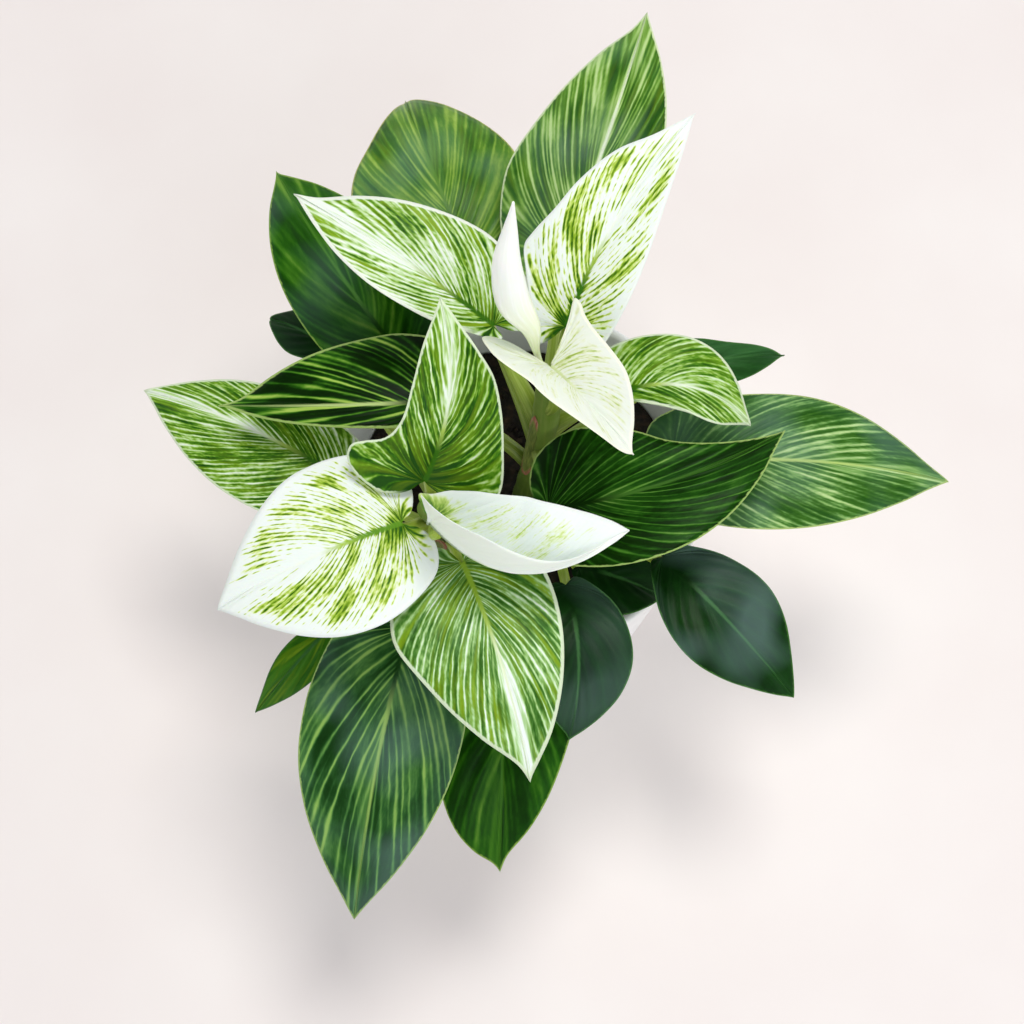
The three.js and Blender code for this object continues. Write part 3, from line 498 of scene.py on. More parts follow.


# ------------------------------------------------------------------ leaf materials

# How each kind of leaf is coloured. The stops run from green to white, and most numbers below say how
# strongly one cause moves the tissue along them. Lengths are in millimetres.
#   pale: how much whiter the whole leaf is
#   pitch, thin, stripe: from one pale line to the next, how narrow the lines are, how strong
#   between: finer pale lines halfway between those, as a share of their strength
#   lines: broken green lines on a pale ground, made of dots; they also repeat with pitch
#   wavy: how far the lines swing off their course
#   zones, zone_mm: bands of several lines that are greener or whiter together
#   streaks, jag: breaks along each line, and the ragged ends of cell rows
#   feather, feather_mm, feather_from: white beside the midrib, from this share of its length on
#   star, star_mm: green round the notch, where the veins start
#   edge, edge_mm: white towards the margin. lean: how much whiter the right half is, which on leaf 10 is
#       painted shade on its far half
#   rib_foot, rib_mid, rib: the midrib's colour from its foot to the tip
#   margin, margin_mm: the thin pale edge. back: the colour that shows through the underside
#   olive: yellower green in places. bloom, the painted sheen: a blue-grey reflection painted into the colour
#       in patches. rough, wet: how dull and how strong the gloss is
ORDINARY = dict(pitch=3.6, thin=5.0, stripe=0.3, between=0.4, lines=0.0, wavy=1.2, zones=0.1, zone_mm=8.0,
                streaks=0.4, jag=0.12, feather=0.0, feather_mm=3.0, feather_from=0.2, star=0.0, star_mm=10.0,
                edge=0.0, edge_mm=4.0, lean=0.0, pale=0.0, olive=0.0, painted_sheen=0.0, rough=0.34, wet=0.14)
LOOKS = {
    "white": dict(
        stops=[(0.04, "#1c5404"), (0.24, "#5c8410"), (0.38, "#8cae2c"), (0.52, "#c0d56c"),
               (0.63, "#dbe7ba"), (0.75, "#e3ebe4")],
        pitch=1.5, lines=0.42, stripe=0.0, wavy=4.0, zones=0.34, zone_mm=3.6, streaks=1.0, jag=0.45,
        edge=0.25, edge_mm=4.0, feather=0.4, feather_mm=2.0, feather_from=0.4, star=0.75, star_mm=8.0,
        pale=0.12, margin="#e6ede6", margin_mm=0.9, rib_foot="#35700c", rib_mid="#a4c24a",
        rib="#e6ede0", rough=0.42, wet=0.2, olive=0.25),
    "striped": dict(
        stops=[(0.16, "#184600"), (0.32, "#326602"), (0.45, "#568718"), (0.54, "#83aa40"),
               (0.66, "#accb84"), (0.82, "#cde0ba"), (0.98, "#e4ece2")],
        pitch=1.7, thin=2.4, stripe=0.3, between=0.35, lines=0.12, wavy=8.0, zones=0.2, zone_mm=4.0,
        streaks=1.05, jag=0.4, feather=0.45, feather_mm=1.8, feather_from=0.38, star=0.4, star_mm=9.0,
        pale=-0.06, margin="#d2e1c0", margin_mm=0.7, rib_mid="#a9c458", rib="#e0ead4", rough=0.38, wet=0.2,
        olive=0.3),
    "blurred": dict(
        stops=[(0.20, "#1f4e0c"), (0.42, "#38661c"), (0.52, "#507e38"), (0.64, "#7ba458"),
               (0.85, "#b4cf8c")],
        pitch=2.3, thin=1.7, stripe=0.27, between=0.3, zones=0.24, zone_mm=6.0, streaks=0.9, jag=0.25,
        feather=0.16, feather_mm=2.0, feather_from=0.3, star=0.1, pale=-0.08, margin="#a9c070",
        margin_mm=0.4, rib="#b4cc72", rough=0.36, painted_sheen=0.2),
    "lined": dict(
        stops=[(0.22, "#143e08"), (0.40, "#29580e"), (0.52, "#447320"), (0.64, "#779f42"),
               (0.82, "#aec983")],
        pitch=2.6, thin=2.6, stripe=0.28, between=0.7, zones=0.24, zone_mm=5.0, feather=0.3,
        feather_mm=0.8, feather_from=0.15, margin="#ccdcae", margin_mm=0.5, rib="#e9f0da",
        olive=0.2, painted_sheen=0.15),
    "yellow_lined": dict(
        stops=[(0.22, "#1f4c08"), (0.40, "#336410"), (0.54, "#4d7e20"), (0.68, "#7c9f38"),
               (0.88, "#a0be58")],
        pitch=3.4, thin=3.2, stripe=0.24, between=0.5, zones=0.24, olive=0.2, margin="#b3b76c",
        margin_mm=0.4, rib="#5a8724", wet=0.2, painted_sheen=0.2),
    "dark": dict(
        stops=[(0.22, "#041a00"), (0.42, "#0a2800"), (0.53, "#194608"), (0.66, "#3f7020"),
               (0.86, "#88ac58")],
        feather=0.1, margin="#9ab566", margin_mm=0.4, rib="#5f8838", wet=0.08),
    "faint": dict(
        stops=[(0.25, "#082a00"), (0.42, "#123c02"), (0.55, "#1f5206"), (0.72, "#3b6f16"),
               (0.90, "#668f30")],
        pitch=4.4, thin=2.2, stripe=0.2, between=0.4, zones=0.2, feather=0.06, margin="#7f9f46",
        margin_mm=0.4, rib="#457a24", wet=0.1),
    "plain": dict(
        stops=[(0.25, "#061c05"), (0.45, "#0c2c0a"), (0.62, "#143b10"), (0.90, "#2b5720")],
        pitch=5.0, thin=3.0, stripe=0.08, between=0.0, margin="#3d6a2c", margin_mm=0.35, rib="#3a6b33",
        painted_sheen=0.04, wet=0.1),
}

# the middle colour is a blue-grey painted into leaves as sheen, standing in for reflected light
YELLOWER_GREEN, PAINTED_SHEEN_GREY, LEAF_BACK = "#8fae1c", "#7f9c98", "#a9bd8a"
FLESH = (0.6, 1.0, 0.25)      # light goes furthest through living green tissue in green


class LeafTissue:
    """The tissue of a leaf, with stripes that run with its side veins: each grew from one group of cells."""

    def __init__(self, tree, look):
        self.tree, self.look = tree, look
        self.veins = add(tree, "ShaderNodeUVMap", uv_map="veins")
        self.flat = add(tree, "ShaderNodeUVMap", uv_map="flat")
        self.rib_mm, self.rim_mm, self.tipward = (
            add(tree, "ShaderNodeAttribute", attribute_name=measure, out="Fac")
            for measure in ("rib_mm", "rim_mm", "tipward"))
        self.from_notch = add(tree, "ShaderNodeVectorMath", {0: self.flat}, operation="LENGTH", out="Value")
        self.broken = self.streaks(look["pitch"] * 0.55, 9.0, 2.0)
        self.fine = self.streaks(0.5, 1.4)
        # marks about 17 mm across
        self.patches = add(tree, NOISE, {"Vector": self.flat, "Scale": 0.06, "Detail": 2.0})
        # 0 within 6 mm of the notch, 1 from 14 mm on
        self.away = add(tree, MAP, {0: self.from_notch, 1: 14.0, 2: 6.0, **FALLING}, **SMOOTH)

    def streaks(self, width_mm, length_mm, detail=1.0, shift=0.0):
        """Unevenness drawn out along the veins, with marks about this wide and this long."""
        stretched = add(self.tree, "ShaderNodeVectorMath",
                        {0: self.veins, 1: (0.7 / width_mm, 0.7 / length_mm, 1.0), 2: (shift, shift, 0.0)},
                        operation="MULTIPLY_ADD")
        return add(self.tree, NOISE, {"Vector": stretched, "Scale": 1.0, "Detail": detail, "Roughness": 0.5})

    def ridges(self, phase, power, narrowness):
        """Narrow ridges across the veins, one to a turn of the phase."""
        wave = add(self.tree, MATH, {0: phase}, operation="COSINE")
        wave = add(self.tree, MATH, {0: wave, 1: 0.5, 2: 0.5}, operation="MULTIPLY_ADD")
        power = add(self.tree, MATH, {0: narrowness, 1: power}, **PRODUCT)
        return add(self.tree, MATH, {0: wave, 1: power}, operation="POWER")

    def lines(self):
        """One pale line to a vein and, halfway between two, a finer pale one and a green one made of dots."""
        tree, look, pitch = self.tree, self.look, self.look["pitch"]
        across = add(tree, "ShaderNodeSeparateXYZ", {0: self.veins}, out=0)
        wander, wobble = self.streaks(9.0, 30.0, 0.0), self.streaks(2.0, 6.0)
        turn = sum_of(tree, (across, FULL_TURN / pitch), (wander, 20.0 / pitch), (wobble, look["wavy"]))
        half_turn = add(tree, MATH, {0: turn, 1: math.pi}, operation="ADD")
        narrowness = add(tree, MAP, {0: self.streaks(pitch * 1.2, 12.0, 0.0, 70.0),
                                     1: 0.35, 2: 0.65, 3: 1.8, 4: 0.5})
        self.pale_line = self.ridges(turn, look["thin"], narrowness)
        uneven = add(tree, MAP, {0: self.streaks(pitch * 0.9, 40.0, 0.0), 1: 0.3, 2: 0.65, 3: 0.5, 4: 1.3})
        stripe = add(tree, MATH, {0: self.pale_line, 1: uneven}, **PRODUCT)
        finer = self.ridges(half_turn, look["thin"] * 2, narrowness)
        uneven = add(tree, MAP, {0: self.streaks(pitch * 0.9, 40.0, 0.0, 17.0),
                                 1: 0.4, 2: 0.65, 3: 0.0, 4: 1.3})
        between = add(tree, MATH, {0: finer, 1: uneven}, **PRODUCT)
        green = self.ridges(half_turn, 2.0, narrowness)
        dots = add(tree, MAP, {0: self.streaks(pitch * 0.6, 2.2, 1.0, 40.0),
                               1: 0.36, 2: 0.62, 3: 0.3, 4: 1.3})
        green_line = add(tree, MATH, {0: green, 1: dots}, **PRODUCT)
        return stripe, between, green_line

    def feather(self):
        """White beside the midrib, towards the tip.

        Here and below, a distance gets unevenness of 4 to 6 mm on average for a ragged limit, and its span
        allows for that.
        """
        tree, look = self.tree, self.look
        beside_rib = add(tree, MAP, {0: sum_of(tree, self.rib_mm, (self.fine, 1.5), (self.broken, 9.0)),
                                     1: look["feather_mm"] + 3.5, 2: look["feather_mm"] + 7.0, **FALLING},
                         **SMOOTH)
        outer_part = add(tree, MAP, {0: self.tipward, 1: look["feather_from"] + 0.08,
                                     2: look["feather_from"] - 0.08, **FALLING}, **SMOOTH)
        return add(tree, MATH, {0: beside_rib, 1: outer_part}, **PRODUCT)

    def star(self):
        """Green round the notch and up the foot of the midrib, where the veins start."""
        tree = self.tree
        ragged = sum_of(tree, self.rib_mm, (self.broken, 6.0), (self.fine, 2.0), (self.tipward, 5.0))
        beside_foot = add(tree, MAP, {0: ragged, 1: 4.2, 2: 6.6, **FALLING}, **SMOOTH)
        foot_part = add(tree, MAP, {0: self.tipward, 1: 0.3, 2: 0.48, **FALLING}, **SMOOTH)
        foot = add(tree, MATH, {0: beside_foot, 1: foot_part}, **PRODUCT)
        round_notch = add(tree, MAP, {0: self.from_notch, 1: 1.0, 2: self.look["star_mm"], **FALLING},
                          **SMOOTH)
        return add(tree, MATH, {0: round_notch, 1: foot}, operation="MAXIMUM")

    def edge(self):
        """White towards the margin, but not behind the notch."""
        ragged = sum_of(self.tree, self.rim_mm, (self.broken, 5.0), (self.patches, 6.0))
        by_margin = add(self.tree, MAP, {0: ragged, 1: 6.5, 2: self.look["edge_mm"] + 6.5, **FALLING},
                        **SMOOTH)
        return add(self.tree, MATH, {0: by_margin, 1: self.away}, **PRODUCT)

    def whiteness(self):
        """All the causes together. Their averages come off, so that pale alone says how white a leaf is."""
        tree, look = self.tree, self.look
        stripe, between, green_line = self.lines()
        zones = add(tree, MAP, {0: self.streaks(look["zone_mm"], look["zone_mm"] * 4.5),
                                1: 0.38, 2: 0.6, 3: 0.0, 4: 1.0})
        right_hand = add(tree, "ShaderNodeSeparateXYZ", {0: self.flat}, out=1)
        right_half = add(tree, MAP, {0: right_hand, 1: 1.5, 2: -1.5, **FALLING}, **SMOOTH)
        average = 0.5 * (2 * look["zones"] + look["streaks"] + look["jag"] + look["lean"]) \
            + look["stripe"] * 0.5 / math.sqrt(look["thin"]) - 0.3 * look["lines"]
        level = sum_of(tree, (stripe, look["stripe"]), (between, look["stripe"] * look["between"]),
                       (green_line, -look["lines"]), (zones, look["zones"]), (self.patches, look["zones"]),
                       (self.broken, look["streaks"]), (self.fine, look["jag"]),
                       (self.feather(), look["feather"]), (self.star(), -look["star"]),
                       (self.edge(), look["edge"]), (right_half, look["lean"]))
        return add(tree, MATH, {0: level, 1: 0.5 + look["pale"] - average}, operation="ADD")

    def colour(self):
        """The striped tissue, with yellower green in places."""
        tree, look = self.tree, self.look
        level = self.whiteness()
        colour = add(tree, RAMP, {0: level}, stops=look["stops"])
        olive = add(tree, MAP, {0: self.streaks(1.4, 16.0, 1.0, 90.0),
                                1: 0.45, 2: 0.68, 3: 0.0, 4: look["olive"]})
        on_green = add(tree, MAP, {0: level, 1: 0.46, 2: 0.6, **FALLING}, **SMOOTH)
        olive = add(tree, MATH, {0: olive, 1: on_green}, **PRODUCT)
        return add(tree, MIX, {0: olive, 6: colour, 7: tint(YELLOWER_GREEN)}, **COLOURS)

    def with_midrib(self, colour):
        """The tissue's colour with the midrib on it, which changes colour from its foot to the tip."""
        tree, look = self.tree, self.look
        rib_colour = add(tree, RAMP, {0: self.tipward},
                         stops=[(0.18, look.get("rib_foot", look["stops"][1][1])),
                                (0.30, look.get("rib_mid", look["rib"])), (0.42, look["rib"])])
        ragged = sum_of(tree, self.rib_mm, (self.tipward, 1.0), (self.fine, 0.6))
        on_rib = add(tree, MAP, {0: ragged, 1: 0.9, 2: 1.8, **FALLING}, **SMOOTH)
        on_rib = add(tree, MATH, {0: on_rib, 1: 0.9}, **PRODUCT)
        return add(tree, MIX, {0: on_rib, 6: colour, 7: rib_colour}, **COLOURS)

    def with_margin(self, colour):
        """The colour with the thin pale edge on it, which ends short of the notch."""
        tree, look = self.tree, self.look
        ragged = sum_of(tree, self.rim_mm, (self.fine, 0.9))
        on_margin = add(tree, MAP, {0: ragged, 1: look["margin_mm"] * 0.75 + 0.45,
                                    2: look["margin_mm"] + 0.75, **FALLING}, **SMOOTH)
        on_margin = add(tree, MATH, {0: on_margin, 1: self.away}, **PRODUCT)
        return add(tree, MIX, {0: on_margin, 6: colour, 7: tint(look["margin"])}, **COLOURS)


def leaf_skin(name, look, underside=False):
    """Living leaf: its tissue shows through its own wax, which gives a clean, slightly uneven gloss; a
    blue-grey sheen is painted into its colour in patches.
    """
    material, tree = new_material(name)
    tissue = LeafTissue(tree, look)
    colour = tissue.with_margin(tissue.with_midrib(tissue.colour()))
    if underside:
        colour = add(tree, MIX, {0: 0.4, 6: colour, 7: tint(look.get("back", LEAF_BACK))}, **COLOURS)
        rough = 0.55
    else:
        rough = add(tree, MAP, {0: tissue.patches, 1: 0.3, 2: 0.7,
                                3: look["rough"] - 0.05, 4: look["rough"] + 0.07})
    # painted sheen: patches about 29 mm across where a blue-grey reflection is painted into the colour
    sheen_patches = add(tree, NOISE, {"Vector": tissue.flat, "Scale": 0.035, "Detail": 1.0})
    painted_sheen = add(tree, MAP, {0: sheen_patches, 1: 0.42, 2: 0.7, 3: 0.0, 4: look["painted_sheen"]})
    colour = add(tree, MIX, {0: painted_sheen, 6: colour, 7: tint(PAINTED_SHEEN_GREY)}, **COLOURS)
    # pores 0.6 mm apart: real ones are finer, and wouldn't show
    pores = add(tree, NOISE, {"Vector": tissue.flat, "Scale": 1.6, "Detail": 2.0})
    ripple = sum_of(tree, (tissue.pale_line, 0.5), (pores, 0.15), (tissue.fine, 0.2))
    bump = add(tree, BUMP, {"Height": ripple, "Strength": 0.25, "Distance": 0.4 * MM})
    finish_material(tree, {"Base Color": colour, "Roughness": rough, "Normal": bump, "IOR": 1.38,
                           "Specular IOR Level": look["wet"], "Subsurface Weight": 0.1,
                           "Subsurface Radius": FLESH, "Subsurface Scale": 1.5 * MM})
    return material


def stalk_skin(name, low, high, streak):
    """Smooth juicy stalk: an even satin green, paler and yellower near the blade, with fine long fibres."""
    material, tree = new_material(name)
    length = add(tree, "ShaderNodeUVMap", uv_map="length")
    upward = add(tree, "ShaderNodeSeparateXYZ", {0: length}, out=1)
    # 26 fibres round the stalk, each about a third of its length: a little coarser than real ones
    stretched = add(tree, "ShaderNodeVectorMath", {0: length, 1: (26.0, 3.0, 1.0)}, **PRODUCT)
    fibres = add(tree, NOISE, {"Vector": stretched, "Scale": 1.0, "Detail": 3.0})
    colour = add(tree, RAMP, {0: upward}, stops=[(0.0, low), (0.55, high), (1.0, high)])
    share = add(tree, MAP, {0: fibres, 1: 0.5, 2: 0.7, 3: 0.0, 4: 0.6})
    colour = add(tree, MIX, {0: share, 6: colour, 7: tint(streak)}, **COLOURS)
    bump = add(tree, BUMP, {"Height": fibres, "Strength": 0.25, "Distance": 0.4 * MM})
    finish_material(tree, {"Base Color": colour, "Roughness": 0.38, "Normal": bump, "IOR": 1.45,
                           "Subsurface Weight": 0.15, "Subsurface Radius": FLESH, "Subsurface Scale": 2 * MM})
    return material


def sheath_skin():
    """Ageing sheath: thin green fibres, drying to a pinkish brown from the margin inwards, no gloss."""
    material, tree = new_material("ageing_sheath")
    flat = add(tree, "ShaderNodeUVMap", uv_map="flat")
    rim_mm = add(tree, "ShaderNodeAttribute", attribute_name="rim_mm", out="Fac")
    # fibres 0.3 mm wide and 8 mm long
    stretched = add(tree, "ShaderNodeVectorMath", {0: flat, 1: (0.12, 3.0, 1.0)}, **PRODUCT)
    fibres = add(tree, NOISE, {"Vector": stretched, "Scale": 1.0, "Detail": 4.0})
    green = add(tree, RAMP, {0: fibres}, stops=[(0.3, "#4c5c22"), (0.5, "#66752e"), (0.7, "#8a9448")])
    dry = add(tree, RAMP, {0: fibres}, stops=[(0.3, "#6e3c2c"), (0.5, "#a1604e"), (0.7, "#c9a08a")])
    near_rim = add(tree, MAP, {0: sum_of(tree, rim_mm, (fibres, 3.0)), 1: 2.0, 2: 3.4, **FALLING},
                   **SMOOTH)
    colour = add(tree, MIX, {0: near_rim, 6: green, 7: dry}, **COLOURS)
    bump = add(tree, BUMP, {"Height": fibres, "Strength": 0.5, "Distance": 0.4 * MM})
    finish_material(tree, {"Base Color": colour, "Roughness": 0.55, "Normal": bump, "IOR": 1.45})
    return material


def potting_mix_skin():
    """Damp peat and bark: almost black, with browner crumbs and a dull wet sheen."""
    material, tree = new_material("damp_potting_mix")
    place = add(tree, "ShaderNodeTexCoord", out="Object")
    # crumbs of 2.4 mm and grains of 3.8 mm that break down into finer ones, in numbers to a metre
    crumbs = add(tree, "ShaderNodeTexVoronoi", {"Vector": place, "Scale": 420.0}, out="Distance")
    grains = add(tree, NOISE, {"Vector": place, "Scale": 260.0, "Detail": 6.0})
    colour = add(tree, RAMP, {0: grains},
                 stops=[(0.3, "#0d0a08"), (0.5, "#1c1510"), (0.68, "#33251a"), (0.8, "#4f3b29")])
    height = sum_of(tree, (crumbs, 0.6), (grains, 0.8))
    bump = add(tree, BUMP, {"Height": height, "Strength": 0.8, "Distance": 1.2 * MM})
    finish_material(tree, {"Base Color": colour, "Roughness": 0.85, "Normal": bump, "IOR": 1.4})
    return material


def white_pot_skin():
    """Injection-moulded polypropylene in gloss white: bright body, soft reflections, faint flow marks."""
    material, tree = new_material("gloss_white_polypropylene")
    place = add(tree, "ShaderNodeTexCoord", out="Object")
    # flow marks about 40 mm across, 24 to a metre
    flow = add(tree, NOISE, {"Vector": place, "Scale": 24.0, "Detail": 1.0})
    colour = add(tree, RAMP, {0: flow}, stops=[(0.3, "#f3f4f4"), (0.7, "#f9faf9")])
    rough = add(tree, MAP, {0: flow, 1: 0.3, 2: 0.7, 3: 0.29, 4: 0.34})
    bump = add(tree, BUMP, {"Height": flow, "Strength": 0.1, "Distance": 0.5 * MM})
    finish_material(tree, {"Base Color": colour, "Roughness": rough, "Normal": bump, "IOR": 1.49})
    return material


def floor_skin():
    """Honed pale floor: an even off-white that takes soft shadows."""
    material, tree = new_material("honed_pale_floor")
    place = add(tree, "ShaderNodeTexCoord", out="Object")
    mottle = add(tree, NOISE, {"Vector": place, "Scale": 9.0, "Detail": 3.0})
    colour = add(tree, RAMP, {0: mottle}, stops=[(0.3, "#ebe2de"), (0.7, "#efe8e4")])
    finish_material(tree, {"Base Color": colour, "Roughness": 0.5})
    return material


# ------------------------------------------------------------------ stalks and stems

def swept(name, points, radii, material, sides=24, ring=None):
    """A closed tube through points in millimetres. ring gives the section's shape by angle and share."""
    points = np.array(points, float)
    along = unit(np.gradient(points, axis=0))
    across = np.array((1.0, 0, 0)) if abs(along[0][2]) > 0.9 else np.array((0, 0, 1.0))
    angles = np.linspace(0, FULL_TURN, sides, endpoint=False)
    travelled = np.concatenate([[0], np.cumsum(np.linalg.norm(np.diff(points, axis=0), axis=1))])
    corners, uvs = [], []
    for i, point in enumerate(points):
        across = unit(across - along[i] * np.dot(across, along[i]))
        other = np.cross(along[i], across)
        share = travelled[i] / travelled[-1]
        size = radii[i] * (ring(angles, share) if ring else np.ones(sides))
        corners.append(point + np.outer(size * np.cos(angles), across)
                       + np.outer(size * np.sin(angles), other))
        uvs.append([(j / sides, share) for j in range(sides + 1)])
    faces, face_uvs = [], []
    for i in range(len(points) - 1):
        for j in range(sides):
            k = (j + 1) % sides
            faces.append([i * sides + j, i * sides + k, (i + 1) * sides + k, (i + 1) * sides + j])
            face_uvs.extend([uvs[i][j], uvs[i][j + 1], uvs[i + 1][j + 1], uvs[i + 1][j]])
    last = (len(points) - 1) * sides
    for cap, uv in ((range(sides)[::-1], uvs[0][0]), (range(last, last + sides), uvs[-1][0])):
        faces.append(list(cap))
        face_uvs.extend([uv] * sides)
    piece = mesh_object(name, np.concatenate(corners) * MM, faces, [material])
    layer = piece.data.uv_layers.new(name="length")
    layer.uv.foreach_set("vector", np.array(face_uvs, np.float32).ravel())
    return piece


def stem_point(shoot, height):
    """The place on a shoot's axis at a height."""
    foot, top = np.array(shoot["foot"], float), np.array(shoot["top"], float)
    share = (height - foot[2]) / (top[2] - foot[2])
    point = foot + (top - foot) * share
    point[0] += SHOOT_BOW * math.sin(share * math.pi)
    return point


def stalk_points(leaf):
    """A stalk's axis: it leaves its shoot upwards and outwards and bends over into the midrib."""
    blade = Blade(leaf)
    start = stem_point(SHOOTS[leaf["shoot"]], leaf["start"])
    end = blade.places(np.array([3.0]), np.array([0.0]))[0] - 1.7 * blade.up
    outwards = unit((end - start) * (1, 1, 0))
    span = np.linalg.norm(end - start)
    first = start + outwards * 0.22 * span + np.array((0, 0, 0.42 * span))
    second = end - blade.along * 0.12 * span - np.array((0, 0, 0.35 * span))
    t = np.linspace(0, 1, 31)[:, None]
    return (1 - t) ** 3 * start + 3 * t * (1 - t) ** 2 * first + 3 * t ** 2 * (1 - t) * second + t ** 3 * end


def stalk(leaf, material):
    """A leaf's stalk, which thins out where it runs into the midrib."""
    points = stalk_points(leaf)
    share = np.linspace(0, 1, len(points))
    radii = leaf["stalk"] + (STALK_TIP_RADIUS - leaf["stalk"]) * np.minimum(1, 1.6 * share)
    radii = radii * (1 - 0.7 * np.clip((share - 0.93) / 0.07, 0, 1))

    def channelled(angles, share_here):
        """A groove along the top of the stalk, shallower towards the blade."""
        return 1 - 0.16 * np.exp(-((angles - math.pi) / 0.5) ** 2) * (1 - 0.5 * share_here)

    return swept("stalk_" + leaf["id"], points, radii, material, ring=channelled)


def stem(key, material):
    """A shoot's stem, with leaf scars: a shallow ring about every 14 mm."""
    shoot = SHOOTS[key]
    heights = np.linspace(shoot["foot"][2], shoot["top"][2], 71)
    points = [stem_point(shoot, height) for height in heights]
    radii = np.linspace(shoot["foot_radius"], shoot["top_radius"], len(points))
    scars = np.exp(-(((heights - 92) % 14 - 7) / 1.2) ** 2)
    return swept("shoot_" + key, points, radii * (0.96 + 0.05 * scars), material, sides=32)


def spear(material):
    """The new leaf, still rolled: its free edge winds once round it."""
    spine = smooth_curve(SPEAR, np.linspace(0, 1, 61))

    def rolled(angles, share):
        turned = (angles + 3.4 * share + 0.6) % FULL_TURN
        return 0.9 + 0.1 * turned / FULL_TURN

    return swept("rolled_leaf", spine[:, :3], np.maximum(spine[:, 3], 0.25), material, sides=56, ring=rolled)


# ------------------------------------------------------------------ pot and potting mix

POT_HEIGHT, POT_RIM_RADIUS, POT_BASE_RADIUS = 130, 75, 62
POT_WALL, POT_FLOOR = 3, 4
WALL_AT_RIM, WALL_TAPER = 4.1, 0.9      # the wall is thickest at the rim
DRAIN_HOLES, DRAIN_RADIUS, DRAIN_CIRCLE = 5, 4, 30
SOIL_TOP, SOIL_DOME = 98, 3
TOP_INSET, SIDE_INSET = 4.7, 4.9        # how far the mix keeps from the outside of the pot
TOP_RINGS = 46
CRUMBS, CRUMB_SIZES, CRUMB_SHAPE = 420, (0.7, 2.4), (1.3, 1.0, 0.6)     # longer than they are thick

# the turned edges of the pot. Foot: how far in from the base's edge, and how high.
FOOT = [(1.2, 0), (0.5, 0.15), (0.1, 0.6), (0, 1.3)]
# Lip: how far below the rim the wall is measured, how far out from it and how far below the rim the place is.
LIP = [(8, -0.6, 8.3), (8, -0.2, 7.6), (8, 0.5, 7), (6, 0.6, 6), (3, 0.3, 3), (0, -0.05, 1.5), (0, -0.4, 0.7),
       (0, -1, 0.2), (0, -1.9, 0), (0, -2.8, 0.2), (0, -3.4, 0.7), (0, -3.75, 1.5), (5, -3.9, 5)]


def pot_wall(height):
    """The radius of the pot's outside at a height."""
    return POT_BASE_RADIUS + (POT_RIM_RADIUS - POT_BASE_RADIUS) * height / POT_HEIGHT


def add_ring(corners, angles, radius, height):
    """Adds a ring of corners round the axis, or one corner on it. Gives the corner at each angle."""
    first = len(corners)
    if radius == 0:
        corners.append((0, 0, height))
        return [first] * len(angles)
    heights = np.broadcast_to(height, len(angles))
    corners.extend(zip(radius * np.cos(angles), radius * np.sin(angles), heights))
    return list(range(first, first + len(angles)))


def faces_between(rings):
    """Faces from each ring of corners to the next. A ring on the axis is one corner, named once in a face."""
    faces = []
    for low, high in zip(rings, rings[1:]):
        for j in range(len(low)):
            k = (j + 1) % len(low)
            around = list(dict.fromkeys([low[j], low[k], high[k], high[j]]))
            if len(around) > 2:
                faces.append(around)
    return faces


def pot(material):
    """The pot is turned on its axis, and its drain holes are drilled through the floor."""
    top = POT_HEIGHT
    foot = [(0, 0), (DRAIN_CIRCLE, 0)] + [(POT_BASE_RADIUS - inset, height) for inset, height in FOOT]
    wall = [(pot_wall(h), h) for h in np.linspace(6, top - 9, 14)]
    lip = [(pot_wall(top - at) + out, top - down) for at, out, down in LIP]
    inside = [(pot_wall(h) - WALL_AT_RIM + WALL_TAPER * (1 - h / top), h)
              for h in np.linspace(top - 12, POT_FLOOR + 4, 12)]
    floor_edge = pot_wall(POT_FLOOR) - POT_WALL
    floor = [(floor_edge - 1, POT_FLOOR + 1), (floor_edge - 2.5, POT_FLOOR), (0, POT_FLOOR)]
    corners, angles = [], np.linspace(0, FULL_TURN, 144, endpoint=False)
    rings = [add_ring(corners, angles, *place) for place in foot + wall + lip + inside + floor]
    piece = mesh_object("white_pot", np.array(corners) * MM, faces_between(rings), [material])
    bpy.context.view_layer.objects.active = piece
    for i in range(DRAIN_HOLES):
        angle = FULL_TURN * i / DRAIN_HOLES
        place = (DRAIN_CIRCLE * MM * math.cos(angle), DRAIN_CIRCLE * MM * math.sin(angle), 0)
        bpy.ops.mesh.primitive_cylinder_add(vertices=32, radius=DRAIN_RADIUS * MM, depth=5 * POT_FLOOR * MM,
                                            location=place)
        drill = bpy.context.active_object
        cut = piece.modifiers.new("drain_hole", "BOOLEAN")
        cut.object, cut.operation, cut.solver = drill, "DIFFERENCE", "EXACT"
        with bpy.context.temp_override(object=piece, active_object=piece):
            bpy.ops.object.modifier_apply(modifier=cut.name)
        bpy.data.objects.remove(drill, do_unlink=True)
    return piece


def lumpy(x, y, scale, seed):
    """Smooth unevenness made of a few crossed waves."""
    golden_angle = 2.399963
    total = np.zeros_like(x)
    for n in range(7):
        angle = golden_angle * n + seed
        pitch = scale * (1 + 0.55 * n)
        total += np.sin((x * math.cos(angle) + y * math.sin(angle)) * pitch + 1.7 * n * seed) / (1 + 0.6 * n)
    return total / 3


def crumb_shape():
    """The corners and faces of a crumb before it is made rough."""
    shape = bmesh.new()
    bmesh.ops.create_icosphere(shape, subdivisions=1, radius=1)
    corners = np.array([v.co[:] for v in shape.verts])
    faces = [[v.index for v in f.verts] for f in shape.faces]
    shape.free()
    return corners, faces


